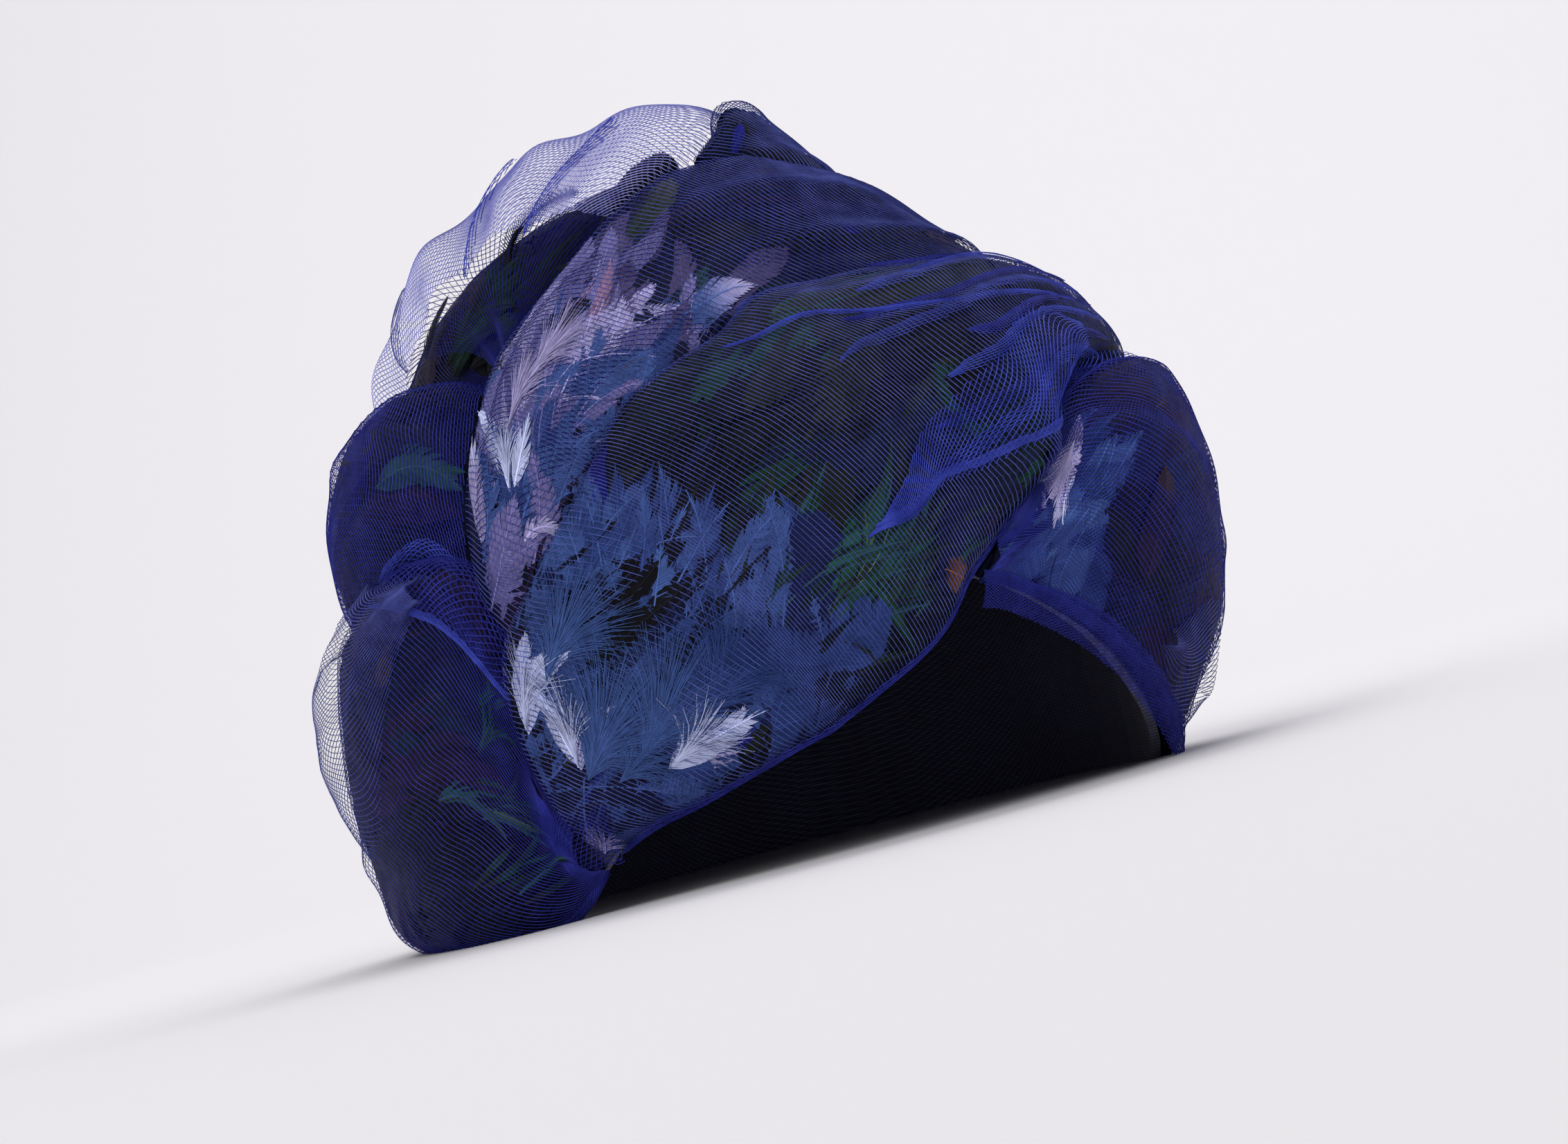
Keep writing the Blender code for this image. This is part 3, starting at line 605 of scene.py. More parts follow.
class Feathers:
    """Collects the vanes laid on one skin, and makes them one mesh."""

    def __init__(self, skin):
        self.skin = skin
        self.parts = []
        self.count = 0

    def add(self, points, triangles, tints, barbs, shines):
        """Takes in n x m small strips with the same triangles. Arrays are (n, m, corners, ...)."""
        corners = points.shape[-2]
        if self.skin.hand < 0:
            triangles = triangles[:, ::-1]
        first = np.arange(points.size // 3 // corners)[:, None, None] * corners + self.count
        self.parts.append((points.reshape(-1, 3), (triangles[None] + first).reshape(-1, 3),
                           tints.reshape(-1, 3), barbs.ravel(), shines.ravel()))
        self.count += points.size // 3

    def lay(self, style, s, t, heading, colour, tip=None, shine=0.0, scale=1.0, base=ROOT_RISE):
        """Lays feathers with their roots at s and t; heading is in degrees from the s direction."""
        s = np.atleast_1d(np.asarray(s, float))
        n = len(s)
        t, heading, scale, shine = (np.broadcast_to(np.asarray(value, float), (n,))
                                    for value in (t, heading, scale, shine))
        colour, tip = (np.broadcast_to(np.asarray(value, float), (n, 3))
                       for value in (colour, colour if tip is None else tip))
        length = style.length * scale
        # the quill's path over the skin
        bend = random.normal(0, BENDS, n)
        path = np.zeros((n, QUILL_NODES, 2))
        angle = np.zeros((n, QUILL_NODES))
        a, b, turn = s.copy(), t.copy(), np.radians(heading)
        step = length / (QUILL_NODES - 1)
        for k in range(QUILL_NODES):
            path[:, k] = np.stack([a, b], 1)
            angle[:, k] = turn
            along, across = self.skin.steps(a, b)
            a = a + np.cos(turn) * step / along
            b = b + np.sin(turn) * step / across
            turn = turn + bend

        def on_path(u):
            x = np.clip(u, 0, 1) * (QUILL_NODES - 1)
            i = np.minimum(x.astype(int), QUILL_NODES - 2)
            f = (x - i)[..., None]
            rows = np.arange(n)[:, None]
            return path[rows, i] * (1 - f) + path[rows, i + 1] * f, angle[rows, i]

        def half_width(u):
            u = np.clip(u, 0, 1)
            grown = np.minimum(1, u / VANE_WIDE_FROM) ** VANE_GROWTH
            return style.half_width * grown * (1 - u ** VANE_END) ** style.taper

        lifts = random.uniform(0, OVERLAP, n)
        arch = ARCH * scale

        def corner(at, turn, x, y, u, w):
            along, across = self.skin.steps(at[..., 0], at[..., 1])
            ss = at[..., 0] + (np.cos(turn) * x - np.sin(turn) * y) / along
            tt = at[..., 1] + (np.sin(turn) * x + np.cos(turn) * y) / across
            rise = base + lifts[:, None] + TIP_RISE * u + arch[:, None] * (1 - (y / w) ** 2)
            return self.skin.at(ss, np.clip(tt, 0.0, 1.0), rise)

        barbs = style.barbs
        spacing = length[:, None] / barbs
        u_base = np.broadcast_to(np.linspace(0.0, LAST_BARB, barbs), (n, barbs))
        at, turn = on_path(u_base)
        for side in (-1, 1):
            clump = np.cumsum(random.normal(0, style.ragged, (n, barbs)), axis=1)
            clump -= np.linspace(0, 1, barbs) * clump[:, -1:]
            u_end = np.clip(u_base + BARB_SLANT * (1 - u_base) ** SLANT_POWER + clump / barbs * PARTING, 0, 1)
            reach = half_width(u_end) * scale[:, None] * (1 + random.normal(0, BARB_LENGTHS, (n, barbs)))
            w = np.maximum(half_width(u_base + 0.1) * scale[:, None], reach) + 1.0
            run = (u_end - u_base) * length[:, None]
            points = np.stack([corner(at, turn, run * far + edge * half * spacing, side * reach * out,
                                      u_base + (u_end - u_base) * far, w)
                               for far, out, half in BARB_BARS for edge in (-1, 1)], 2)
            middle = (u_base + u_end) / 2
            tipness = np.stack([u_base, u_base, middle, middle, u_end, u_end], 2)
            blend = (np.clip((tipness - TIP_FROM) / TIP_OVER, 0, 1) ** TIP_POWER)[..., None]
            tints = colour[:, None, None] * (1 - blend) + tip[:, None, None] * blend
            tints = tints * (1 + random.normal(0, BARB_TONES, (n, barbs, 1, 1)))
            across_barb = np.array([0, STRIPE_BREADTH] * len(BARB_BARS)) * spacing[..., None]
            phase = (u_base * length[:, None])[..., None] + across_barb * STRIPE_TURN
            # painted green sheen, strongest where the tip colour begins
            glow = np.clip(GLOW - np.abs(tipness - TIP_FROM) * GLOW_FALL, 0, 1) * shine[:, None, None]
            triangles = strip_triangles(len(BARB_BARS))[:, ::side]
            self.add(points, triangles, np.maximum(tints, 0), phase, glow)
        # the quill itself, a narrow ribbon on top
        u = np.broadcast_to(np.linspace(0, 1, QUILL_NODES), (n, QUILL_NODES))
        half = QUILL_HALF * (1 - QUILL_TAPER * u)
        at, turn = on_path(u)
        clear = self.skin.read(self.skin.normal, at[..., 0], at[..., 1]) * QUILL_CLEAR
        points = np.stack([corner(at, turn, 0 * u, side * half, u, 1.0) + clear for side in (-1, 1)], 2)
        points = points.reshape(n, 1, -1, 3)
        tints = np.broadcast_to((colour * QUILL_TONE[0] + QUILL_TONE[1])[:, None, None], points.shape)
        plain = np.zeros(points.shape[:3])
        self.add(points, strip_triangles(QUILL_NODES), tints, plain, plain)

    def fluff(self, s, t, heading, length, spread, colour, strands):
        """Loose hair-like barbs that fan out from a root."""
        heading = math.radians(heading)
        clump = np.linspace(-1, 1, CLUMPS)[random.integers(0, CLUMPS, (1, strands))]
        clump = clump + random.normal(0, CLUMP_STRAY, (1, strands))
        fan = clump * math.radians(spread) / 2
        reach = length * random.uniform(STRAND_REACH, 1.0, (1, strands)) * np.cos(fan * 0.9)
        start = random.uniform(0, STRAND_START, (1, strands)) ** 1.5 * length
        curl = random.normal(0, STRAND_CURL, (1, strands))
        high = STRAND_LIFT + random.uniform(-0.3, 0.5, (1, strands))
        along, across = self.skin.steps(np.array([[s]]), np.array([[t]]))
        nodes = []
        for share in STRAND_NODES:
            turn = heading + fan * (0.25 + 0.75 * share) + curl * share
            half = STRAND_WIDTH * (1 - STRAND_TAPER * share)
            out = (reach - start * 0.6) * share
            ss = s + (math.cos(heading) * start + np.cos(turn) * out) / along
            tt = np.clip(t + (math.sin(heading) * start + np.sin(turn) * out) / across, 0.0, 1.0)
            for side in (0, half):
                spot = ss - np.sin(turn) * side / along, np.clip(tt + np.cos(turn) * side / across, 0, 1)
                nodes.append(self.skin.at(*spot, high + 0.5 * share))
        points = np.stack(nodes, 2)
        tone = np.asarray(colour) * (1 + random.normal(0, STRAND_TONES, (1, strands, 1, 1)))
        plain = np.zeros(points.shape[:3])
        tints = np.broadcast_to(np.clip(tone, 0, 1), points.shape)
        self.add(points, strip_triangles(len(STRAND_NODES)), tints, plain, plain)

    def build(self, name, slot):
        """Makes one piece of all that was laid."""
        points, faces, tints, barbs, shines = (np.concatenate(part) for part in zip(*self.parts))
        piece = mesh_piece(name, points, faces, FEATHER, colours=tints,
                           values={"barb": barbs, "shine": shines})


# Net: rows of thread, joined by thin ties. A thread is two ribbons that cross.
ROW_PITCH = 1.6
# between the nodes on a row, at that pitch of the rows
NODE_PITCH = 1.35
# how far a row stands to each side at its ties, as a share of the pitch
WAVE = 0.07
TIE = 0.07
RIBBON_TILT = 42
# how far a node strays along and across its row
NODE_STRAY = (0.07, 0.04)
# the nodes' places in bent cloth are found in rounds; a round moves them at most these shares of
# the cloth's length and width
LATTICE_TABLE = 300
LATTICE_ROUNDS = 40
LATTICE_MOVE = (0.1, 0.3)
TIGHTEST_BEND = 0.3
# the cloth's own slow waves: turns for each millimetre along and across, and how the lift shifts them
WAVES = ((0.11, 0.23, 1), (0.043, -0.31, 2))
# the share of a ridge's length over which it rises and falls
RIDGE_ENDS = 0.25
# a longer or shorter piece of thread than this, in pitches and in millimetres, is left out
LONGEST = 3.5
SHORTEST = 0.03
# The threads' surface, with both of their ribbons, is made this share of the cloth's width times
# length: a thread's width is worked out from it, and isn't a measured one.
THREAD_SHARE = 0.23
# The least width and length, in millimetres, of the cloth that a net is worked out for.
EDGE_CLOTH = 10.0
Ridge = namedtuple("Ridge", "s0 t0 s1 t1 height width")


def smooth_step(x):
    x = np.clip(x, 0, 1)
    return x * x * (3 - 2 * x)


def bent_lattice(length, width, grain, pitch):
    """Lattice nodes in cloth, as distances along and across, where the rows' angle from the long way
    goes evenly from grain[0] to grain[1]. Gives also which nodes lie in the cloth, and which are even."""
    node_pitch = NODE_PITCH * pitch / ROW_PITCH
    table = np.linspace(0, length, LATTICE_TABLE)
    first, last = np.radians(grain)
    turn = (last - first) / length
    angle = first + turn * table
    step = table[1]
    cosines, sines = np.cos(angle), np.sin(angle)
    line_x = np.concatenate([[0], np.cumsum((cosines[1:] + cosines[:-1]) / 2 * step)])
    line_y = -np.concatenate([[0], np.cumsum((sines[1:] + sines[:-1]) / 2 * step)])
    edge_x = np.concatenate([line_x + side * width / 2 * sines for side in (-1, 1)])
    edge_y = np.concatenate([line_y + side * width / 2 * cosines for side in (-1, 1)])
    i = np.arange(int(edge_x.min() / node_pitch) - 2, int(edge_x.max() / node_pitch) + 3)
    j = np.arange(int(edge_y.min() / pitch) - 2, int(edge_y.max() / pitch) + 3)
    j, i = np.meshgrid(j, i, indexing="ij")
    even = (i + j) % 2 == 0
    x = i * node_pitch + random.normal(0, NODE_STRAY[0], i.shape)
    y = j * pitch + np.where(even, WAVE, -WAVE) * pitch + random.normal(0, NODE_STRAY[1], i.shape)
    a = np.full(x.shape, length / 2)
    b = np.zeros(x.shape)
    for _ in range(LATTICE_ROUNDS):
        here = np.interp(a, table, angle)
        lack_x = x - np.interp(a, table, line_x) - b * np.sin(here)
        lack_y = y - np.interp(a, table, line_y) - b * np.cos(here)
        move_a = (np.cos(here) * lack_x - np.sin(here) * lack_y) / np.maximum(1 + b * turn, TIGHTEST_BEND)
        move_b = np.sin(here) * lack_x + np.cos(here) * lack_y
        a = a + np.clip(move_a, -LATTICE_MOVE[0] * length, LATTICE_MOVE[0] * length)
        b = b + np.clip(move_b, -LATTICE_MOVE[1] * width, LATTICE_MOVE[1] * width)
    inside = (a >= 0) & (a <= length) & (np.abs(b) <= width / 2)
    return a, b, inside, even


def lay_net(name, skin, material, grain, width, lift, wander=0.25, pitch=ROW_PITCH, ridges=(),
            held="gathered", rests_on=()):
    """One layer of net over a skin. grain holds the angles of the rows from the s direction at both
    ends, and width is the cloth's own, which the skin's changing width gathers."""
    a, b, inside, even = bent_lattice(skin.length, width, grain, pitch)
    s = a / skin.length
    t = b / width + 0.5
    rise = np.full(s.shape, float(lift))
    for ridge in ridges:
        share = (s - ridge.s0) / (ridge.s1 - ridge.s0)
        present = smooth_step(share / RIDGE_ENDS) * smooth_step((1 - share) / RIDGE_ENDS)
        off = (t - ridge.t0 - (ridge.t1 - ridge.t0) * share) * width / ridge.width
        rise = rise + ridge.height * present * np.exp(-off * off)
    wave = sum(np.sin(a * along + b * across + shift * lift) for along, across, shift in WAVES)
    rise = rise + wander * 0.5 * wave
    points = skin.at(s, t, rise).reshape(-1, 3)
    normals = skin.read(skin.normal, s, t).reshape(-1, 3)
    # a row's thread is straight from one even node to the next, and the odd node between is put on it
    ends = even | ~np.roll(inside, 1, axis=1) | ~np.roll(inside, -1, axis=1)
    between = np.flatnonzero(inside & ~ends)
    points[between] = (points[between - 1] + points[between + 1]) / 2
    stops = np.flatnonzero(inside & ends)
    joined = stops[1:] - stops[:-1] <= 2
    crossing = np.flatnonzero(inside & even & np.roll(inside, -1, axis=0))
    runs = []
    for start, end in ((stops[:-1][joined], stops[1:][joined]), (crossing, crossing + s.shape[1])):
        size = np.linalg.norm(points[end] - points[start], axis=1)
        ok = (size > SHORTEST) & (size < LONGEST * pitch)
        runs.append((points[start[ok]], points[end[ok]], normals[start[ok]], size[ok].sum()))
    flat = (max(width, EDGE_CLOTH) * MM, max(skin.length, EDGE_CLOTH) * MM)
    wanted = THREAD_SHARE * flat[0] * flat[1] / MM ** 2
    thread = (wanted - TIE * runs[1][3]) / (2 * runs[0][3])
    ribbons = []
    ties = []
    tilts_of = ((-RIBBON_TILT, RIBBON_TILT), (0,))
    for (start, end, up, _), half, tilts in zip(runs, (thread / 2, TIE / 2), tilts_of):
        side = unit(np.cross(end - start, up))
        for tilt in tilts:
            lean = (side * math.cos(math.radians(tilt)) + up * math.sin(math.radians(tilt))) * half
            ribbons.append(np.stack([start - lean, start + lean, end + lean, end - lean], 1))
            ties.append(np.full(len(start) * 4, 1.0 if len(tilts) == 1 else 0.0))
    corners = np.concatenate(ribbons)
    faces = np.arange(len(corners) * 4).reshape(-1, 4)
    piece = mesh_piece(name, corners.reshape(-1, 3), faces, material, smooth=False,
                       values={"tie": np.concatenate(ties)})
    return piece


# a band's ends narrow to PINCHED of its width, over the share PINCH of its length
PINCHED = 0.2
PINCH = 0.15


def strip_skin(skin, low, high, lift, belly, pinch, rows=90, columns=12):
    """A band over a skin between two lines of (s, t) places, raised by lift and by belly half way.
    Over the share pinch of its length it narrows towards each end, to the share PINCHED of its width."""
    a = resampled(low, rows)[:, None]
    b = resampled(high, rows)[:, None]
    if pinch:
        along = np.linspace(0, 1, rows)
        full = smooth_step(along / pinch) * smooth_step((1 - along) / pinch)
        full = (PINCHED + (1 - PINCHED) * full)[:, None, None]
        middle = (a + b) / 2
        a = middle + (a - middle) * full
        b = middle + (b - middle) * full
    share = np.linspace(0, 1, columns)[None, :, None]
    spot = a * (1 - share) + b * share
    rise = lift + belly * np.sin(math.pi * share[..., 0]) + np.zeros(spot.shape[:2])
    points = skin.at(spot[..., 0], spot[..., 1], rise)
    return Skin(points, skin.read(skin.normal, spot[..., 0], spot[..., 1]))


# The photograph's camera, in millimetres and degrees about the hat's middle
CAMERA_YAW = -28.0
CAMERA_ELEVATION = -3.0
CAMERA_ROLL = 15.0
CAMERA_DISTANCE = 1000.0
PIXELS_PER_MM = 6.22
PHOTO_WIDTH = 2264
PHOTO_HEIGHT = 1652
AIM_PIXEL = (1088, 735)
AIM = np.array([SHIFT[0], SHIFT[1], 80.0])
SENSOR = 36.0


def camera_axes():
    """The camera's backward, right and up directions."""
    yaw, rise, roll = (math.radians(x) for x in (CAMERA_YAW, CAMERA_ELEVATION, CAMERA_ROLL))
    back = np.array([math.sin(yaw) * math.cos(rise), -math.cos(yaw) * math.cos(rise), math.sin(rise)])
    right = unit(np.cross([0, 0, 1.0], back))
    up = np.cross(back, right)
    return (back, right * math.cos(roll) - up * math.sin(roll),
            right * math.sin(roll) + up * math.cos(roll))


BACK, RIGHT, UP = camera_axes()


def seen_at(points):
    """Where points show in the main view, in pixels of the photograph's frame."""
    away = points - AIM
    scale = PIXELS_PER_MM * CAMERA_DISTANCE / (CAMERA_DISTANCE - away @ BACK)
    return np.stack([AIM_PIXEL[0] + scale * (away @ RIGHT), AIM_PIXEL[1] - scale * (away @ UP)], -1)


def spot_at(skin, x, y):
    """The (s, t) place of a skin that shows at a pixel of the main view."""
    facing = ((BACK * CAMERA_DISTANCE + AIM - skin.grid) * skin.normal).sum(-1) > 0
    far = np.linalg.norm(seen_at(skin.grid) - (x, y), axis=-1) + np.where(facing, 0, 1e4)
    i, j = np.unravel_index(np.argmin(far), far.shape)
    return i / skin.shape[0], j / skin.shape[1]


def heading_at(skin, s, t, angle):
    """Heading on the skin, in degrees from s, of a direction in the main view (anticlockwise from right)."""
    s, t = np.array([s]), np.array([t])
    here = skin.at(s, t, np.zeros(1))
    steps = (unit(skin.read(field, s, t)) for field in (skin.ds, skin.dt))
    seen = np.stack([(seen_at(here + step) - seen_at(here))[0] for step in steps], 1)
    angle = math.radians(angle)
    a, b = np.linalg.solve(seen, (math.cos(angle), -math.sin(angle)))
    return math.degrees(math.atan2(b, a))


def picked(colours, weights, count):
    """Colours drawn by their weights."""
    index = random.choice(len(colours), count, p=np.array(weights) / sum(weights))
    return np.array(colours)[index]


# roots stray by this share of their distance, headings by these degrees
STRAY = 0.22
SWING = 7
# how far a cover's outer columns are from the skin's edges
COVER_EDGE = 0.03


def cover(feathers, style, rows, columns, heading, mix, shine, scale=(0.85, 1.15)):
    """Covers a skin with feathers in staggered rows."""
    s = np.linspace(0, 1, rows)
    t = np.linspace(COVER_EDGE, 1 - COVER_EDGE, columns)
    ss, tt = np.meshgrid(s, t, indexing="ij")
    ss = ss + (np.arange(columns) % 2)[None] * (s[1] - s[0]) * 0.5
    ss = (ss + random.normal(0, STRAY, ss.shape) * (s[1] - s[0])).ravel()
    tt = (tt + random.normal(0, STRAY, tt.shape) * (t[1] - t[0])).ravel()
    order = np.argsort(-ss if abs(heading) > 90 else ss)
    n = len(order)
    feathers.lay(style, ss[order], tt[order], heading + random.normal(0, SWING, n), picked(*mix, n),
                 shine=shine * random.uniform(0, 1, n) ** 2, scale=random.uniform(*scale, n))


skins = {name: swathe_skin(swathe) for name, swathe in SWATHES.items()}
for name, skin in skins.items():
    add_backing(name, skin)

# Mixes of feather colours, each with its weights
DARK = ((BLACK, NAVY, OLIVE, GREEN, PURPLE), (9, 4, 1.5, 0.4, 1))
NIGHT = ((BLACK, NAVY, PURPLE), (5, 4, 3))
SLATE = ((NAVY, PURPLE, INDIGO, BLACK), (4, 3, 2, 2))
BLUES = ((STEEL, BLUE), (5, 3))
GREENS = ((OLIVE, GREEN, BLACK, TEAL), (4, 2, 3, 1))
TIPS = ((BLACK, NAVY), (5, 1))
A, B, C, E = "front_swathe_right", "crown_swathe_front", "crown_swathe_top", "crown_swathe_back"
F, M, L = "front_swathe_left", "side_swathe_right_mid", "side_swathe_right_low"
Cover = namedtuple("Cover", "swathe rows columns heading mix shine")
COVERS = (
    Cover(A, 22, 8, 180, DARK, 0.12),
    Cover(F, 16, 8, 0, SLATE, 0.1),
    Cover(B, 20, 6, 180, NIGHT, 0.1),
    Cover(C, 10, 5, 180, NIGHT, 0.1),
    Cover(E, 14, 7, 160, NIGHT, 0.2),
    Cover(M, 14, 5, 10, NIGHT, 0.2),
    Cover(L, 15, 7, 0, NIGHT, 0.12),
)
feathers = {}
for row in COVERS:
    feathers[row.swathe] = Feathers(skins[row.swathe])
    cover(feathers[row.swathe], COQUE, row.rows, row.columns, row.heading, row.mix, row.shine)

# The pouf: net over the back crown swathe, with creases that run down it
POUF_LOW_EDGE = 6.6
POUF_HIGH_EDGE = (7.5, 8, 10, 12, 14, 15, 18, 19, 18, 16, 13, 11, 9, 8)
POUF_CREST = (8.5, 12, 17, 22, 26, 28, 28, 27.5, 27, 26, 24, 20, 15, 11)
POUF_SKEW = 1.25
POUF_FULLNESS = 0.5
POUF_GRID = (120, 60)
# how far the creases lean, and how much and how often they swing, from end to end
CREASE_LEAN = 0.35
CREASE_SWING = 0.06
CREASE_TURNS = 9


def pouf_skin(fullness, creases, depth):
    """The pouf's own form, or one inside it with a share of its fullness. depth is the creases'."""
    swathe = SWATHES[E]
    low = seam_line(swathe.low, POUF_GRID[0])
    run = seam_line(swathe.high, POUF_GRID[0]) - low
    heights = resampled(list(zip(POUF_CREST, POUF_HIGH_EDGE)), POUF_GRID[0])
    station = np.linspace(0, 1, POUF_GRID[0])[:, None]
    share = np.linspace(0, 1, POUF_GRID[1])[None]
    edges = POUF_LOW_EDGE + (heights[:, 1:] - POUF_LOW_EDGE) * share
    swell = np.sin(math.pi * share ** POUF_SKEW) ** POUF_FULLNESS
    crest = edges + (heights[:, :1] - edges) * fullness
    bend = CREASE_LEAN * station + CREASE_SWING * np.sin(CREASE_TURNS * station)
    crease = np.cos(2 * math.pi * creases * (share + bend)) * np.sin(math.pi * share)
    lift = edges + (crest - edges) * swell + depth * crease * np.sin(math.pi * station)
    return chart_skin(low[:, None] + run[:, None] * share[..., None], lift)


# Feathers that stand up from the back crown swathe into the pouf
STANDING_FULLNESS = 0.42
S = "standing"
skins[S] = pouf_skin(STANDING_FULLNESS, 0, 0)
SLOTS[S] = "feathers_black"
feathers[S] = Feathers(skins[S])

# Single feathers that show in the main view: root in pixels, direction anticlockwise from the right.
Accent = namedtuple("Accent", "swathe style x y angle scale colour tip shine", defaults=(0,))
ACCENTS = (
    Accent(A, SPIKE, 880, 920, 92, 1.5, STEEL, STEEL),
    Accent(A, SPIKE, 915, 900, 80, 1.3, BLUE, STEEL),
    Accent(A, SPIKE, 960, 900, 72, 1.3, STEEL, BLUE),
    Accent(A, SPIKE, 1000, 890, 60, 1.2, STEEL, BLUE),
    Accent(A, SPIKE, 850, 880, 94, 1.1, STEEL, BLUE),
    Accent(A, SPIKE, 1050, 900, 52, 1.2, BLUE, STEEL),
    Accent(A, SHORT, 880, 1150, 60, 1.0, BLUE, STEEL),
    Accent(A, SHORT, 960, 1140, 45, 1.0, PURPLE, BLUE),
    Accent(A, SHORT, 870, 745, 100, 0.8, ULTRAMARINE, NAVY),
    Accent(A, POINTED, 1010, 610, 232, 1.6, BLACK, BLACK),
    Accent(A, POINTED, 1035, 650, 236, 1.5, BLACK, BLACK),
    Accent(A, POINTED, 1080, 745, 226, 1.6, BLACK, BLACK),
    Accent(A, POINTED, 1110, 790, 222, 1.5, BLACK, BLACK),
    Accent(A, POINTED, 930, 925, 210, 0.5, BLACK, BLACK),
    Accent(A, BLADE, 1175, 915, 52, 0.7, GREEN, LIME, 0.8),
    Accent(A, BLADE, 1185, 900, 50, 0.7, LIME, MINT, 0.5),
    Accent(A, BLADE, 1200, 885, 48, 0.6, MINT, LIME, 0.3),
    Accent(A, BLADE, 1212, 880, 55, 0.6, LIME, GREEN, 0.3),
    Accent(A, SHORT, 1385, 835, 95, 0.5, COPPER, BLACK),
    Accent(A, SLIM, 1250, 620, 215, 1.0, BLACK, OLIVE, 0.4),
    Accent(A, SLIM, 1340, 560, 205, 1.0, NAVY, PURPLE, 0.2),
    Accent(A, BRUSH, 768, 1050, 97, 1.05, WHITE, WHITE),
    Accent(A, BRUSH, 762, 1010, 90, 0.7, WHITE, WHITE),
    Accent(A, BRUSH, 838, 1100, 118, 0.75, WHITE, WHITE),
    Accent(A, BRUSH, 842, 1102, 106, 0.95, WHITE, WHITE),
    Accent(A, BRUSH, 842, 1090, 86, 0.75, LILAC, WHITE),
    Accent(A, BRUSH, 972, 1094, 72, 0.65, WHITE, WHITE),
    Accent(A, BRUSH, 975, 1094, 54, 0.85, WHITE, WHITE),
    Accent(A, BRUSH, 972, 1098, 38, 1.0, WHITE, WHITE),
    Accent(A, BRUSH, 985, 1100, 22, 0.85, LILAC, WHITE),
    Accent(B, BRUSH, 742, 705, 104, 0.85, WHITE, WHITE),
    Accent(B, BRUSH, 748, 700, 78, 0.65, WHITE, WHITE),
    Accent(B, BRUSH, 700, 780, 98, 0.9, LILAC, WHITE),
    Accent(B, BRUSH, 765, 780, 60, 0.5, LILAC, WHITE),
    Accent(F, BRUSH, 1560, 610, 262, 0.8, LILAC, LILAC),
    Accent(F, BRUSH, 1552, 650, 250, 0.65, LILAC, WHITE),
    Accent(F, BRUSH, 1550, 690, 238, 0.4, WHITE, WHITE),
    Accent(B, SLIM, 800, 560, 63, 0.7, PINK, PINK),
    Accent(B, SLIM, 705, 760, 84, 0.7, LILAC, WHITE),
    Accent(B, TONGUE, 920, 500, 33, 1.1, STEEL, LILAC),
    Accent(B, TONGUE, 900, 520, 38, 1.0, NAVY, TEAL),
    Accent(B, TONGUE, 832, 590, 38, 0.60, BROWN, BLACK),
    Accent(B, SHORT, 880, 370, 38, 1.0, OLIVE, SAGE, 0.2),
    Accent(B, SHORT, 1215, 345, 12, 0.3, ULTRAMARINE, ULTRAMARINE),
    Accent(C, SHORT, 1055, 222, 60, 0.3, ULTRAMARINE, ULTRAMARINE),
    Accent(E, BLADE, 735, 465, 36, 0.6, GREEN, MINT, 0.8),
    Accent(M, TONGUE, 550, 705, 46, 0.95, TEAL, TEAL),
    Accent(M, POINTED, 615, 706, 52, 0.5, GREEN, GREEN, 0.8),
    Accent(L, POINTED, 640, 1158, 28, 0.7, TEAL, LIME, 0.6),
    Accent(L, POINTED, 705, 1165, -14, 0.6, LIME, OLIVE, 0.4),
    Accent(L, SHORT, 540, 1000, 60, 0.6, BROWN, PURPLE),
    Accent(F, SHORT, 1500, 690, -12, 0.8, LILAC, LILAC),
    Accent(F, SHORT, 1650, 830, 80, 1.0, PURPLE, PURPLE),
    Accent(F, SHORT, 1655, 600, 60, 0.5, BROWN, PURPLE),
)
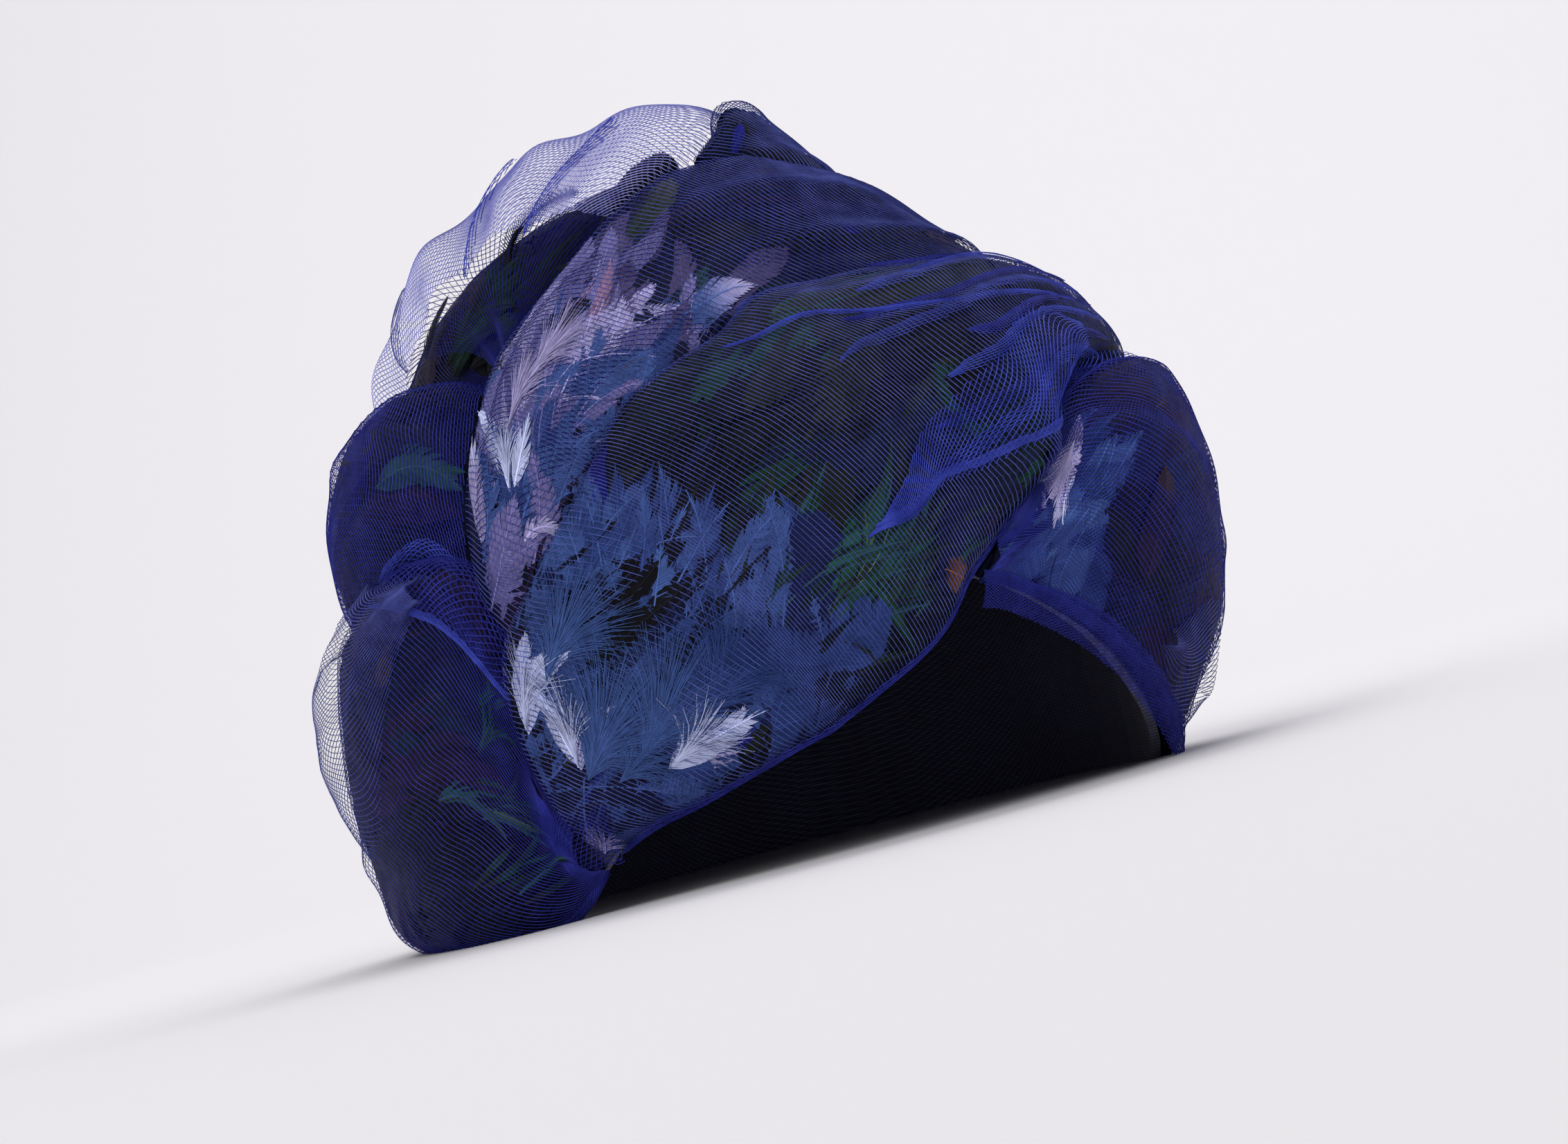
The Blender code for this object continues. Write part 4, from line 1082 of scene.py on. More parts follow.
# Drifts of feathers of one kind, scattered round a pixel of the main view
Drift = namedtuple("Drift", "swathe style x y reach_x reach_y angle swing count scale mix shine",
                   defaults=(0,))
DRIFTS = (
    Drift(A, BROAD, 930, 1040, 230, 150, 78, 10, 30, 0.9, ((INDIGO, BLUE), (3, 1))),
    Drift(A, BROAD, 900, 1120, 200, 110, 78, 8, 34, 1.0, BLUES),
    Drift(A, BROAD, 890, 1080, 230, 110, 80, 8, 36, 0.85, BLUES),
    Drift(A, BROAD, 1040, 1070, 170, 60, 60, 8, 18, 0.75, ((BLUE, STEEL, NAVY), (5, 3, 1))),
    Drift(A, SHORT, 850, 1195, 110, 50, 70, 12, 22, 1.3, ((ULTRAMARINE, BLUE, NAVY), (3, 2, 2))),
    Drift(A, TONGUE, 850, 900, 60, 60, 88, 9, 12, 1.0, BLUES),
    Drift(A, TONGUE, 910, 980, 190, 80, 76, 10, 34, 1.0, BLUES),
    Drift(A, SPIKE, 950, 900, 150, 60, 74, 12, 30, 1.15, ((BLUE, STEEL), (1, 1))),
    Drift(A, BLADE, 1180, 890, 130, 80, 50, 5, 60, 0.9, GREENS, 0.6),
    Drift(A, BLADE, 1140, 970, 90, 50, 48, 5, 14, 0.8, GREENS, 0.3),
    Drift(A, BLADE, 1130, 745, 60, 50, 215, 6, 12, 0.7, GREENS, 0.7),
    Drift(A, POINTED, 1040, 690, 50, 80, 230, 9, 12, 1.5, TIPS),
    Drift(B, TONGUE, 735, 800, 60, 100, 82, 8, 26, 0.9, ((STEEL, BLUE, LAVENDER), (4, 2, 3))),
    Drift(B, COQUE, 830, 540, 120, 110, 58, 9, 24, 0.5, ((SMOKE, LAVENDER, NAVY), (4, 1, 2))),
    Drift(B, TONGUE, 850, 680, 70, 110, 66, 8, 22, 1.0, ((STEEL, BLUE, LAVENDER), (4, 2, 2))),
    Drift(B, TONGUE, 770, 620, 60, 120, 70, 8, 26, 1.0, ((LAVENDER, LILAC, STEEL), (4, 3, 1))),
    Drift(B, COQUE, 765, 590, 50, 70, 63, 7, 14, 0.42, ((LILAC, LAVENDER, PINK), (4, 2, 1))),
    Drift(B, SLIM, 770, 600, 70, 120, 62, 6, 22, 0.6, ((LILAC, PINK, LAVENDER), (4, 1, 2))),
    Drift(S, COQUE, 670, 530, 50, 50, 66, 12, 10, 0.28, TIPS, 0.3),
    Drift(S, POINTED, 720, 450, 90, 40, 55, 12, 10, 0.6, TIPS, 0.3),
    Drift(F, BROAD, 1560, 660, 90, 90, 240, 16, 16, 0.9, ((BLUE, STEEL, NAVY), (5, 2, 1))),
    Drift(F, TONGUE, 1560, 620, 70, 60, 235, 16, 18, 0.9, BLUES),
    Drift(L, BLADE, 700, 1060, 30, 30, 62, 8, 9, 0.5, GREENS, 0.8),
    Drift(L, BLADE, 680, 1165, 50, 20, 20, 10, 10, 0.6, GREENS, 0.8),
    Drift(L, BLADE, 740, 1280, 50, 30, 35, 10, 10, 0.6, GREENS, 0.5),
    Drift(E, BLADE, 720, 470, 60, 30, 38, 8, 14, 0.8, GREENS, 1.0),
)


DRIFT_BASE = (0.3, 0.55)
ACCENT_BASE = 0.6
BRUSH_BASE = 1.0


def on_skin(swathe, x, y, angle):
    """The place on a swathe, and the heading there, of a pixel and a direction of the main view."""
    s, t = spot_at(skins[swathe], x, y)
    return s, t, heading_at(skins[swathe], s, t, angle)


# The swathes' ends at the back meet under a strip of feathers that runs down to the nape:
# rows of turn, drop and height
BACK_SEAM = ((-150, 78, 8), (-151, 92, 11), (-152, 108, 14), (-152.5, 124, 16), (-154, 140, 17),
             (-157, 156, 17.5), (-159.5, 175, 19), (-160.5, 195, 19.5), (-160.5, 212, 18), (-160.5, 225, 13))
BACK_SEAM_HALF = 9.0
BACK_SEAM_TUCK = 7.0
K = "back_seam"
seam_rows = resampled(BACK_SEAM, 160)
seam_across = np.linspace(-1, 1, 24)[None]
seam_turns = seam_rows[:, :1] - BACK_SEAM_HALF * seam_across
seam_chart = chart_points(seam_turns, np.broadcast_to(seam_rows[:, 1:2], seam_turns.shape))
skins[K] = chart_skin(seam_chart, seam_rows[:, 2:] - BACK_SEAM_TUCK * np.abs(seam_across) ** 3)
SLOTS[K] = "feathers_black"
feathers[K] = Feathers(skins[K])
for style in (COQUE, BROAD):
    cover(feathers[K], style, 22, 4, 0, NIGHT, 0.1, scale=(0.5, 0.7))

for row in DRIFTS:
    for colour in picked(*row.mix, row.count):
        x, y = random.normal(0, 0.5, 2) * (row.reach_x, row.reach_y) + (row.x, row.y)
        spot = on_skin(row.swathe, x, y, row.angle + random.normal(0, row.swing))
        feathers[row.swathe].lay(row.style, *spot, colour, shine=row.shine,
                                 scale=row.scale * random.uniform(0.8, 1.2), base=random.uniform(*DRIFT_BASE))
for row in ACCENTS:
    feathers[row.swathe].lay(row.style, *on_skin(row.swathe, row.x, row.y, row.angle), row.colour, row.tip,
                             row.shine, row.scale, BRUSH_BASE if row.style == BRUSH else ACCENT_BASE)

# Tufts of down, by the same pixels and angles
Tuft = namedtuple("Tuft", "swathe x y angle length spread colour strands")
TUFTS = (
    Tuft(A, 860, 1120, 75, 30, 70, STEEL, 420),
    Tuft(A, 800, 980, 80, 28, 60, STEEL, 360),
    Tuft(A, 930, 1090, 65, 30, 60, STEEL, 420),
    Tuft(A, 1010, 1040, 60, 28, 60, BLUE, 360),
    Tuft(A, 900, 1120, 45, 16, 60, STEEL, 90),
    Tuft(A, 870, 1230, 80, 7, 90, LILAC, 60),
    Tuft(B, 770, 560, 62, 22, 22, LILAC, 160),
    Tuft(B, 740, 620, 75, 20, 16, LILAC, 120),
    Tuft(A, 768, 1050, 97, 20, 22, WHITE, 60),
    Tuft(A, 842, 1102, 104, 18, 24, WHITE, 60),
    Tuft(A, 974, 1097, 46, 20, 44, WHITE, 90),
    Tuft(B, 744, 704, 96, 17, 24, WHITE, 60),
    Tuft(F, 1552, 640, 256, 15, 24, LILAC, 60),
)
for row in TUFTS:
    feathers[row.swathe].fluff(*on_skin(row.swathe, row.x, row.y, row.angle), row.length, row.spread,
                               row.colour, row.strands)
for name, laid in feathers.items():
    laid.build(name + "_feathers", SLOTS[name])

# Net over each swathe
NetRow = namedtuple("NetRow", "name swathe material grain gather lift pitch")
NETS = (
    NetRow("net_front_right", A, NET, (-78, -62), 1.04, 1.7, 1.6),
    NetRow("net_front_left", F, NET_DEEP, (-30, -10), 1.15, 1.6, 1.6),
    NetRow("net_front_left_under", F, NET_UNDER_SHADED, (20, 60), 1.10, 1.1, 1.6),
    NetRow("net_crown_front", B, NET, (-86, -10), 1.10, 1.6, 1.5),
    NetRow("net_crown_front_under", B, NET_UNDER_SHADED, (-60, 15), 1.15, 1.1, 1.5),
    NetRow("net_crown_top", C, NET, (-30, -80), 1.2, 1.3, 1.5),
    NetRow("net_crown_back", E, NET_UNDER_SHADED, (20, 40), 1.05, 1.1, 1.6),
    NetRow("net_side_mid", M, NET_DEEP, (75, 60), 1.10, 1.6, 1.6),
    NetRow("net_side_mid_under", M, NET_UNDER_SHADED, (20, 10), 1.10, 1.1, 1.6),
    NetRow("net_back_seam", K, NET_DEEP, (20, 30), 1.6, 1.2, 1.5),
    NetRow("net_back_seam_under", K, NET_DEEP, (-30, -20), 1.6, 0.9, 1.5),
    NetRow("net_side_low", L, NET_DEEP, (28, 40), 1.08, 1.6, 1.6),
)
RIDGES = {
    A: (Ridge(0.45, 0.80, 0.76, 0.62, 1.8, 4), Ridge(0.50, 0.62, 0.78, 0.50, 1.5, 3.5),
        Ridge(0.30, 0.62, 0.66, 0.52, 1.2, 5), Ridge(0.10, 0.35, 0.45, 0.16, 1.2, 5),
        Ridge(0.05, 0.75, 0.35, 0.80, 1.2, 5), Ridge(0.48, 0.22, 0.70, 0.10, 1.3, 3)),
    B: (Ridge(0.30, 0.55, 0.75, 0.62, 1.4, 4), Ridge(0.45, 0.30, 0.85, 0.42, 1.4, 3.5),
        Ridge(0.02, 0.55, 0.35, 0.70, 1.3, 4), Ridge(0.10, 0.30, 0.40, 0.25, 1.0, 4)),
    C: (Ridge(0.05, 0.35, 0.60, 0.25, 1.2, 4), Ridge(0.10, 0.65, 0.70, 0.6, 1.2, 4)),
    F: (Ridge(0.15, 0.72, 0.50, 0.45, 1.6, 5), Ridge(0.18, 0.50, 0.50, 0.25, 1.4, 5),
        Ridge(0.10, 0.80, 0.40, 0.80, 1.2, 4), Ridge(0.5, 0.4, 0.9, 0.6, 1.2, 5)),
    M: (Ridge(0.02, 0.30, 0.40, 0.45, 1.5, 4), Ridge(0.04, 0.55, 0.50, 0.70, 1.4, 4),
        Ridge(0.5, 0.3, 0.9, 0.5, 1.2, 4)),
    L: (Ridge(0.08, 0.75, 0.45, 0.35, 1.4, 5), Ridge(0.10, 0.55, 0.50, 0.15, 1.4, 5),
        Ridge(0.15, 0.85, 0.55, 0.65, 1.5, 4), Ridge(0.5, 0.3, 0.9, 0.6, 1.2, 5)),
}
for row in NETS:
    skin = skins[row.swathe]
    lay_net(row.name, skin, row.material, row.grain, skin.width * row.gather, row.lift, pitch=row.pitch,
            ridges=RIDGES.get(row.swathe, ()), held="draped", rests_on=(row.swathe + "_feathers",))

# Bands of net between two lines of (s, t) places on a skin. s holds the stations of both lines, or one
# row of stations for each. low and high are the t of the lines, or one t for all. grains holds the angle
# of the rows in each layer.
Band = namedtuple("Band", "name swathe s low high material lift belly gather grains")
LAYER_LIFT = 0.35


def line(stations, heights):
    """Places (s, t) at stations of s; heights holds the t of each, or is one t for all."""
    if not isinstance(heights, tuple):
        heights = (heights,) * len(stations)
    return tuple(zip(stations, heights))


def lay_layers(name, skin, material, grains, width, step, wander, numbered=True, **options):
    """Layers of net over one skin, each raised by step over the last, with rows at its own angle."""
    for k, grain in enumerate(grains):
        lay_net(f"{name}_{k + 1}" if numbered else name, skin, material, (grain, grain), width, step * k,
                wander, **options)


def lay_bands(rows, wander, pinch=PINCH, numbered=False, **options):
    """Lays the layers of each band. Cloth that is narrower than EDGE_CLOTH is folded into a line."""
    for row in rows:
        low_s, high_s = row.s if isinstance(row.s[0], tuple) else (row.s, row.s)
        low, high = line(low_s, row.low), line(high_s, row.high)
        skin = strip_skin(skins[row.swathe], low, high, row.lift, row.belly, pinch)
        under = row.swathe + "_feathers" if row.swathe in feathers else row.swathe
        lay_layers(row.name, skin, row.material, row.grains, max(skin.width * row.gather, EDGE_CLOTH),
                   LAYER_LIFT, wander, numbered, rests_on=(under,), **options)


# Folded and gathered edges
BANDS = (
    Band("hem_front_right", A, ((0.02, 0.2, 0.4, 0.55, 0.7), (0.02, 0.2, 0.4, 0.55, 0.72)),
         (0.90, 0.93, 0.93, 0.90, 0.80), 1, NET_HEM_LIT, 1.7, 0.8, 2.2, (35, -35)),
    Band("hem_crown_front", B, (0.02, 0.3, 0.6, 0.9), (0.93, 0.95, 0.94, 0.93), 1,
         NET_HEM_LIT, 1.6, 0.4, 2.0, (30, -30)),
    Band("hem_front_low", A, (0.01, 0.2, 0.5, 0.74), 0.0, (0.10, 0.05, 0.05, 0.08),
         NET_DEEP, 1.8, 0.6, 1.5, (30, -20)),
    Band("fold_front_right", A, (0.39, 0.5, 0.62, 0.75), (0.29, 0.24, 0.17, 0.06), (0.31, 0.35, 0.42, 0.52),
         NET_HEM_LIT, 1.9, 0.9, 1.2, (50,)),
    Band("gather_side_low", L, ((0.10, 0.2, 0.3, 0.42), (0.12, 0.2, 0.3, 0.44)), (0.86, 0.80, 0.80, 0.86), 1,
         NET_DEEP, 1.8, 1.4, 1.5, (15, -55)),
    Band("gather_side_front", L, ((0.07, 0.13, 0.19), (0.09, 0.14, 0.2)), (0.80, 0.78, 0.84), 1,
         NET_DEEP, 2.3, 1.0, 1.6, (40, -15)),
    Band("fold_side_mid", M, (0.01, 0.1, 0.25), (0.03, 0.10, 0.12), (0.13, 0.2, 0.16),
         NET_HEM_LIT, 1.8, 0.8, 1.5, (30, -30)),
    Band("hem_side_mid", M, (0.02, 0.3, 0.6, 0.9), 0.93, 1, NET_HEM_LIT, 1.6, 0.4, 2.0, (30, -30)),
    Band("fold_front_left", F, (0.24, 0.34, 0.46), (0.80, 0.84, 0.90), (0.94, 0.97, 0.99),
         NET_DEEP, 1.9, 1.5, 1.6, (15, -50)),
    Band("hem_front_left", F, (0.3, 0.5, 0.7, 0.95), 0.93, 1, NET_HEM_LIT, 1.6, 0.5, 2.0, (30, -30)),
    Band("hem_brow_left", F, (0.01, 0.3, 0.6, 0.98), 0.0, (0.06, 0.06, 0.05, 0.05),
         NET_DEEP, 1.6, 0.6, 2.0, (30, -20)),
    Band("hem_nape", L, (0.01, 0.3, 0.6, 0.98), 0.0, (0.06, 0.05, 0.05, 0.05),
         NET_DEEP, 1.6, 0.6, 2.0, (30, -20)),
)
lay_bands(BANDS, 0.2, numbered=True)

# The very edge of each fold, where net is gathered into a thin line
EDGES = (
    Band("edge_front_right", A, (0.02, 0.3, 0.6, 0.74), (0.985, 0.985, 0.98, 0.97), 1,
         NET_HEM_LIT, 2.0, 0.5, 0, (12,)),
    Band("edge_crown_front", B, (0.02, 0.3, 0.6, 0.8), 0.975, 1, NET_HEM_LIT, 1.8, 0.4, 0, (12,)),
    Band("edge_side_mid", M, (0.02, 0.2, 0.45), 0.975, 1, NET_HEM_LIT, 1.7, 0.4, 0, (12,)),
    Band("edge_side_low", L, (0.02, 0.2, 0.5), 0.975, 1, NET_HEM_LIT, 1.9, 0.4, 0, (12,)),
    Band("edge_fold_right", A, (0.40, 0.5, 0.62, 0.75), (0.30, 0.25, 0.18, 0.07), (0.32, 0.27, 0.20, 0.09),
         NET_HEM_LIT, 2.5, 0.4, 0, (12,)),
    Band("edge_gather_right", A, (0.42, 0.58, 0.76), (0.80, 0.62, 0.42), (0.82, 0.64, 0.45),
         NET_HEM_LIT, 2.1, 0.5, 0, (12,)),
    Band("edge_gather_side", L, (0.12, 0.24, 0.40), (0.84, 0.78, 0.83), (0.86, 0.80, 0.85),
         NET_HEM_LIT, 2.8, 0.5, 0, (12,)),
    Band("edge_front_left", F, (0.06, 0.2, 0.4), (0.97, 0.975, 0.975), 1, NET_DEEP, 1.9, 0.5, 0, (12,)),
)
# Fine folds that fan out from the gather at the right end of the front swathe: first t and step from
# fold to fold at the gathered end and at the far one
FAN = 9
FAN_HALF = 0.018
FAN_NEAR = (0.22, 0.075)
FAN_FAR = (0.26, 0.08)
FAN_BOW = 0.02
fan_bands = []
for k in range(FAN):
    near, far = (first + step * k for first, step in (FAN_NEAR, FAN_FAR))
    stations = (0.79, 0.66, 0.48 + 0.04 * (k % 4))
    low, high = (tuple(t + side for t in (near, (near + far) / 2 + FAN_BOW * (-1) ** k, far))
                 for side in (-FAN_HALF, FAN_HALF))
    # every other fold takes the lit copy of the net, a painted highlight, and the rest the deep blue net
    fan_bands.append(Band(f"gather_fold_{k + 1}", A, stations, low, high, (NET_HEM_LIT, NET_DEEP)[k % 2],
                          1.8, 0.5, 0, (12,)))
lay_bands(EDGES + tuple(fan_bands), 0.15, held="folded")

# The gathered end of the net at the front tip, between the two right swathes
PATCH_PITCH = 1.2
TIP_TURNS = (60, 69.5, 30)
TIP_DROPS = (196, 214, 20)
TIP_HEIGHT = 9.5
TIP_SWELL = 1.5
TIP_RIPPLE = 0.6
tip_places = np.meshgrid(np.linspace(*TIP_TURNS), np.linspace(*TIP_DROPS), indexing="ij")
tip_swell = TIP_SWELL * np.sin(np.linspace(0, math.pi, TIP_DROPS[2]))[None]
tip_ripple = TIP_RIPPLE * np.sin(np.linspace(0, 12, TIP_TURNS[2]))[:, None]
tip_skin = chart_skin(chart_points(*tip_places), TIP_HEIGHT + (tip_swell + tip_ripple))
lay_layers("net_front_tip", tip_skin, NET_DEEP, (10, 65), tip_skin.width * 1.3, 0.5, 0.8,
           pitch=PATCH_PITCH, rests_on=(A + "_feathers",))

# Net gathered over the crown's rim at the left of the brow
RIM_INSIDE = 7.0
RIM_OUTSIDE = -1
RIM_HEIGHTS = (1.6, 5.0)
rim_line = resampled(BROW_LEFT[:11], 120)
rim_inner, rim_outer = (chart_points(rim_line[:, 0], rim_line[:, 1] + past)[:, None]
                        for past in (RIM_INSIDE, RIM_OUTSIDE))
share = np.linspace(0, 1, 14)[None, :, None]
rim_chart = rim_inner * (1 - share) + rim_outer * share
rim_rise = RIM_HEIGHTS[0] + (RIM_HEIGHTS[1] - RIM_HEIGHTS[0]) * np.sin(math.pi / 2 * share[..., 0])
rim_skin = chart_skin(rim_chart, np.broadcast_to(rim_rise, rim_chart.shape[:2]))
lay_layers("net_brow_left", rim_skin, NET_DEEP, (35, -25), rim_skin.width * 2, 0.4, 0.3,
           pitch=PATCH_PITCH, rests_on=("crown_base",))

# Loose single net that stands off the sides
LOOSE_PINCH = 0.35
LOOSE = (
    Band("loose_side_low", L, ((0.30, 0.42, 0.54, 0.70, 0.90), (0.30, 0.42, 0.53, 0.70, 0.90)),
         (0.72, 0.48, 0.36, 0.58, 0.95), (0.98, 1, 1, 1, 1), NET, 1.0, 6.5, 1.1, (25,)),
    Band("ruffle_front_left", F, (0.28, 0.38, 0.48), 0.80, (0.93, 0.95, 0.93), NET_HEM_LIT, 1.4, 3.6, 1.6, (35,)),
    Band("loose_front_low", F, (0.46, 0.54, 0.64), (0.01, 0.02, 0.04), (0.22, 0.28, 0.28),
         NET, 1.2, 3.4, 1.2, (30,)),
)
lay_bands(LOOSE, 0.5, LOOSE_PINCH)

# The pouf's pale net, its front in the darker net with painted shade, and its folds
PoufLayer = namedtuple("PoufLayer", "name material grain low_s low high_s")
POUF_LAYERS = (
    PoufLayer("pouf_layer", NET_PALE, (20, 60), (0.25, 0.35, 0.6, 1), 0.02, (0.23, 0.35, 0.6, 1)),
    PoufLayer("pouf_front", NET_UNDER_SHADED, (20, 30), (0.01, 0.12, 0.26), (0.40, 0.28, 0.03), (0.01, 0.12, 0.24)),
)
POUF_CREASES = 4
POUF_CREASE_DEPTH = 1.8
for row in POUF_LAYERS:
    skins[row.name] = pouf_skin(0.98, POUF_CREASES, POUF_CREASE_DEPTH)
    skin = strip_skin(skins[row.name], line(row.low_s, row.low), line(row.high_s, 1), 0, 0, 0, 200, 60)
    piece = lay_net(row.name, skin, row.material, row.grain, skin.width * 1.05, 0.0, 0.4,
                    rests_on=(E + "_feathers",))
    if row.name == "pouf_layer":
        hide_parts("net_pouf")
POUF_FOLDS = (
    Band("pouf_fold_low", "pouf_layer", (0.24, 0.36, 0.5), (0.10, 0.22, 0.32), (0.13, 0.26, 0.36),
         NET, 0.3, 0.8, 0, (14,)),
    Band("pouf_fold_mid", "pouf_layer", (0.22, 0.3, 0.5), (0.46, 0.52, 0.60), (0.49, 0.56, 0.64),
         NET_HEM_LIT, 0.3, 1.0, 0, (-14,)),
    Band("pouf_fold_high", "pouf_layer", (0.22, 0.32, 0.45), (0.70, 0.74, 0.78), (0.73, 0.79, 0.84),
         NET_HEM_LIT, 0.3, 1.0, 0, (14,)),
)
lay_bands(POUF_FOLDS, 0.3)

# Plumes: rows of turn, drop and height above the crown
ROUND_TIP = ((51, 39, 11), (49, 38, 15), (45, 36, 17.5), (40, 33.5, 18.5), (34, 31.5, 18.7), (29, 29.5, 18),
             (25, 28, 15.5), (23, 27, 12))
ROUND_TIP_GRID = (90, 10)
ROUND_TIP_FOOT = 5.0
ROUND_TIP_CORE = 0.25
ROUND_TIP_THICK = 0.4
RIPPLE = 0.25
RIPPLE_TURN = 1.9
ROUND_TIP_TONE = 1.3
ROUND_TIP_TONES = 0.0008
CURL = ((74, 58, 13), (78, 50, 16.5), (79, 43, 18), (74, 38, 18.5), (66, 37, 18.5), (59, 40, 19))
CURL_ROWS = 60
CURL_SIDES = 6
CURL_RADIUS = 0.8
CURL_BARB = 2.6
CURL_BARB_SLANT = 2.2
# half the breadth of a barb at its root and at its tip
CURL_BARB_HALVES = (0.25, 0.1)


def add_round_tip():
    """A rounded feather tip on edge: barbs rise from a quill at its foot and end in the rim."""
    rows, levels = ROUND_TIP_GRID
    count = rows * levels
    rim = resampled(ROUND_TIP, rows)
    chart = chart_points(rim[:, 0], rim[:, 1])
    middle = chart.mean(0)
    points = np.zeros((rows, levels, 3))
    for j, share in enumerate(np.linspace(0, 1, levels)):
        spread = middle + (chart - middle) * (ROUND_TIP_CORE + (1 - ROUND_TIP_CORE) * share)
        ripple = RIPPLE * np.sin(np.arange(rows) * RIPPLE_TURN) * share
        points[:, j] = place(spread, ROUND_TIP_FOOT + (rim[:, 2] - ROUND_TIP_FOOT) * share + ripple)
    skin = Skin(points, np.broadcast_to(points[:, :1] - BACK, points.shape))
    back = points - unit(np.cross(skin.dt, skin.ds)) * ROUND_TIP_THICK
    tone = np.array(BLACK) * ROUND_TIP_TONE + random.normal(0, ROUND_TIP_TONES, (count, 1))
    barb = np.repeat(np.arange(rows) * 0.8, levels)
    faces = grid_faces(rows, levels)
    points = np.concatenate([points.reshape(-1, 3), back.reshape(-1, 3)])
    faces = np.concatenate([faces, faces[:, ::-1] + count])
    piece = mesh_piece("round_tip_plume", points, faces, FEATHER, colours=np.tile(tone, (2, 1)),
                       values={"barb": np.tile(barb, 2), "shine": np.zeros(2 * count)})
    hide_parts("plume_round_tip")


def add_curl():
    """A curled quill with short barbs along both sides."""
    rows = resampled(CURL, CURL_ROWS)
    spine = place(chart_points(rows[:, 0], rows[:, 1]), rows[:, 2])
    along = unit(np.gradient(spine, axis=0))
    aside = unit(np.cross(along, BACK))
    out = np.cross(aside, along)
    share = np.linspace(0, 1, CURL_ROWS)[:, None]
    radius = CURL_RADIUS * (1 - 0.8 * share)
    rings = [spine + aside * radius * math.cos(angle) + out * radius * math.sin(angle)
             for angle in np.linspace(0, 2 * math.pi, CURL_SIDES + 1)[:-1]]
    points = [np.stack(rings + rings[:1], 1).reshape(-1, 3)]
    faces = [grid_faces(CURL_ROWS, CURL_SIDES + 1)]
    reach = CURL_BARB * (1 - share) ** 0.5 * np.minimum(1, share / 0.1 + 0.2)
    root_half, tip_half = CURL_BARB_HALVES
    for side in (-1, 1):
        tip = spine + aside * reach * side + along * CURL_BARB_SLANT
        barbs = np.stack([spine - along * root_half, spine + along * root_half,
                          tip + along * tip_half, tip - along * tip_half], 1).reshape(-1, 3)
        faces.append(np.arange(len(barbs)).reshape(-1, 4) + sum(map(len, points)))
        points.append(barbs)
    points = np.concatenate(points)
    piece = mesh_piece("curled_plume", points, np.concatenate(faces), FEATHER,
                       colours=np.broadcast_to(np.array(BLACK), points.shape),
                       values={"barb": np.arange(len(points)) * 0.3, "shine": np.zeros(len(points))})
    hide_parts("plume_curl")


add_round_tip()
add_curl()

# Crown
crown = frame["nodes"]["crown_base"]
crown.data.materials.clear()
crown.data.materials.append(crown_material())

# Floor, backdrop, light and camera, in metres
SWEEP_NEAR = -2.2
SWEEP_FAR = 1.1
SWEEP_RADIUS = 0.9
SWEEP_TOP = 3.2
SWEEP_HALF = 3.4
SWEEP_STEPS = 16


def add_stage():
    """A pale floor that sweeps up into a backdrop, turned to face the camera."""
    profile = [(SWEEP_NEAR, 0.0)]
    for k in range(SWEEP_STEPS + 1):
        angle = math.pi / 2 * k / SWEEP_STEPS
        profile.append((SWEEP_FAR + SWEEP_RADIUS * math.sin(angle), SWEEP_RADIUS * (1 - math.cos(angle))))
    profile.append((SWEEP_FAR + SWEEP_RADIUS, SWEEP_TOP))
    turn = math.radians(CAMERA_YAW)
    forward = np.array([-math.sin(turn), math.cos(turn)])
    aside = np.array([math.cos(turn), math.sin(turn)])
    points = [(*(forward * reach + aside * side), height)
              for side in (-SWEEP_HALF, SWEEP_HALF) for reach, height in profile]
    count = len(profile)
    mesh = bpy.data.meshes.new("studio_sweep")
    mesh.from_pydata(points, [], [(k, k + 1, k + 1 + count, k + count) for k in range(count - 1)])
    mesh.shade_smooth()
    mesh.materials.append(Material("studio_paper", Base_Color=(0.82, 0.80, 0.815, 1), Roughness=0.9).material)
    linked("studio_sweep", mesh)


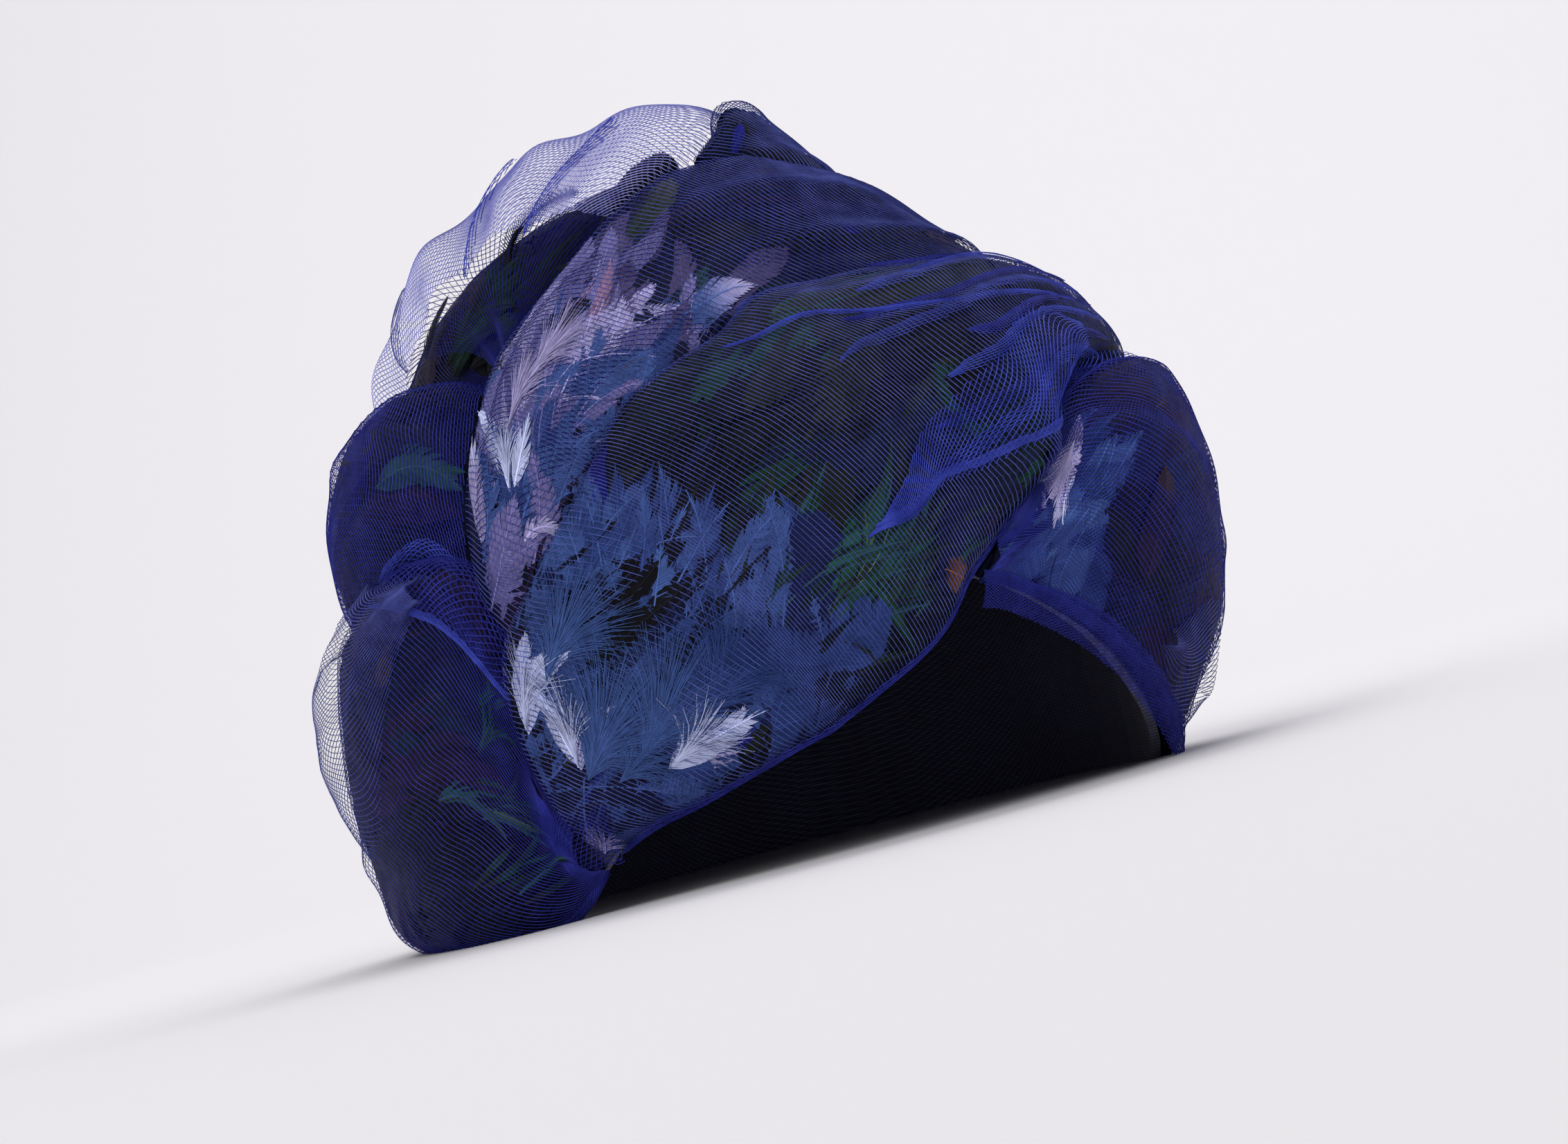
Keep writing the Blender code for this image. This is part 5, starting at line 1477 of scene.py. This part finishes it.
def add_camera():
    """The camera that sees AIM at AIM_PIXEL of the photograph's frame."""
    data = bpy.data.cameras.new("camera")
    data.sensor_width = SENSOR
    data.lens = PIXELS_PER_MM * CAMERA_DISTANCE / PHOTO_WIDTH * SENSOR
    data.shift_x = (PHOTO_WIDTH / 2 - AIM_PIXEL[0]) / PHOTO_WIDTH
    data.shift_y = (AIM_PIXEL[1] - PHOTO_HEIGHT / 2) / PHOTO_WIDTH
    data.clip_start = 0.05
    data.clip_end = 50
    camera = linked("camera", data)
    back = Vector(BACK)
    camera.location = (Vector(AIM) + back * CAMERA_DISTANCE) * MM
    camera.rotation_mode = "QUATERNION"
    rolled = Quaternion((0, 0, 1), -math.radians(CAMERA_ROLL))
    camera.rotation_quaternion = (-back).to_track_quat("-Z", "Y") @ rolled
    bpy.context.scene.camera = camera


Light = namedtuple("Light", "name place target size power colour", defaults=((1, 1, 1),))
HAT_MIDDLE = (0, 0, 0.08)
LIGHTS = (
    Light("key", (-1.5, -1.3, 1.7), HAT_MIDDLE, 1.4, 21, (1.0, 0.985, 0.96)),
    Light("fill", (1.3, -1.6, 0.5), HAT_MIDDLE, 1.6, 10, (0.95, 0.97, 1.0)),
    Light("top", (0.2, 0.5, 2.2), HAT_MIDDLE, 1.8, 13),
    Light("paper", (0.9, 0.3, 2.4), (1.0, 2.0, 1.0), 1.6, 20),
)
add_stage()
add_camera()
for row in LIGHTS:
    light = bpy.data.lights.new(row.name, "AREA")
    light.size = row.size
    light.energy = row.power
    light.color = row.colour
    lamp = linked(row.name, light)
    lamp.location = row.place
    lamp.rotation_mode = "QUATERNION"
    lamp.rotation_quaternion = (Vector(row.target) - Vector(row.place)).to_track_quat("-Z", "Y")
world = bpy.data.worlds.new("studio")
bpy.context.scene.world = world
world.use_nodes = True
sky = world.node_tree.nodes["Background"]
sky.inputs["Color"].default_value = (0.93, 0.94, 1.0, 1)
sky.inputs["Strength"].default_value = 0.42
bpy.context.scene.view_settings.view_transform = "Standard"
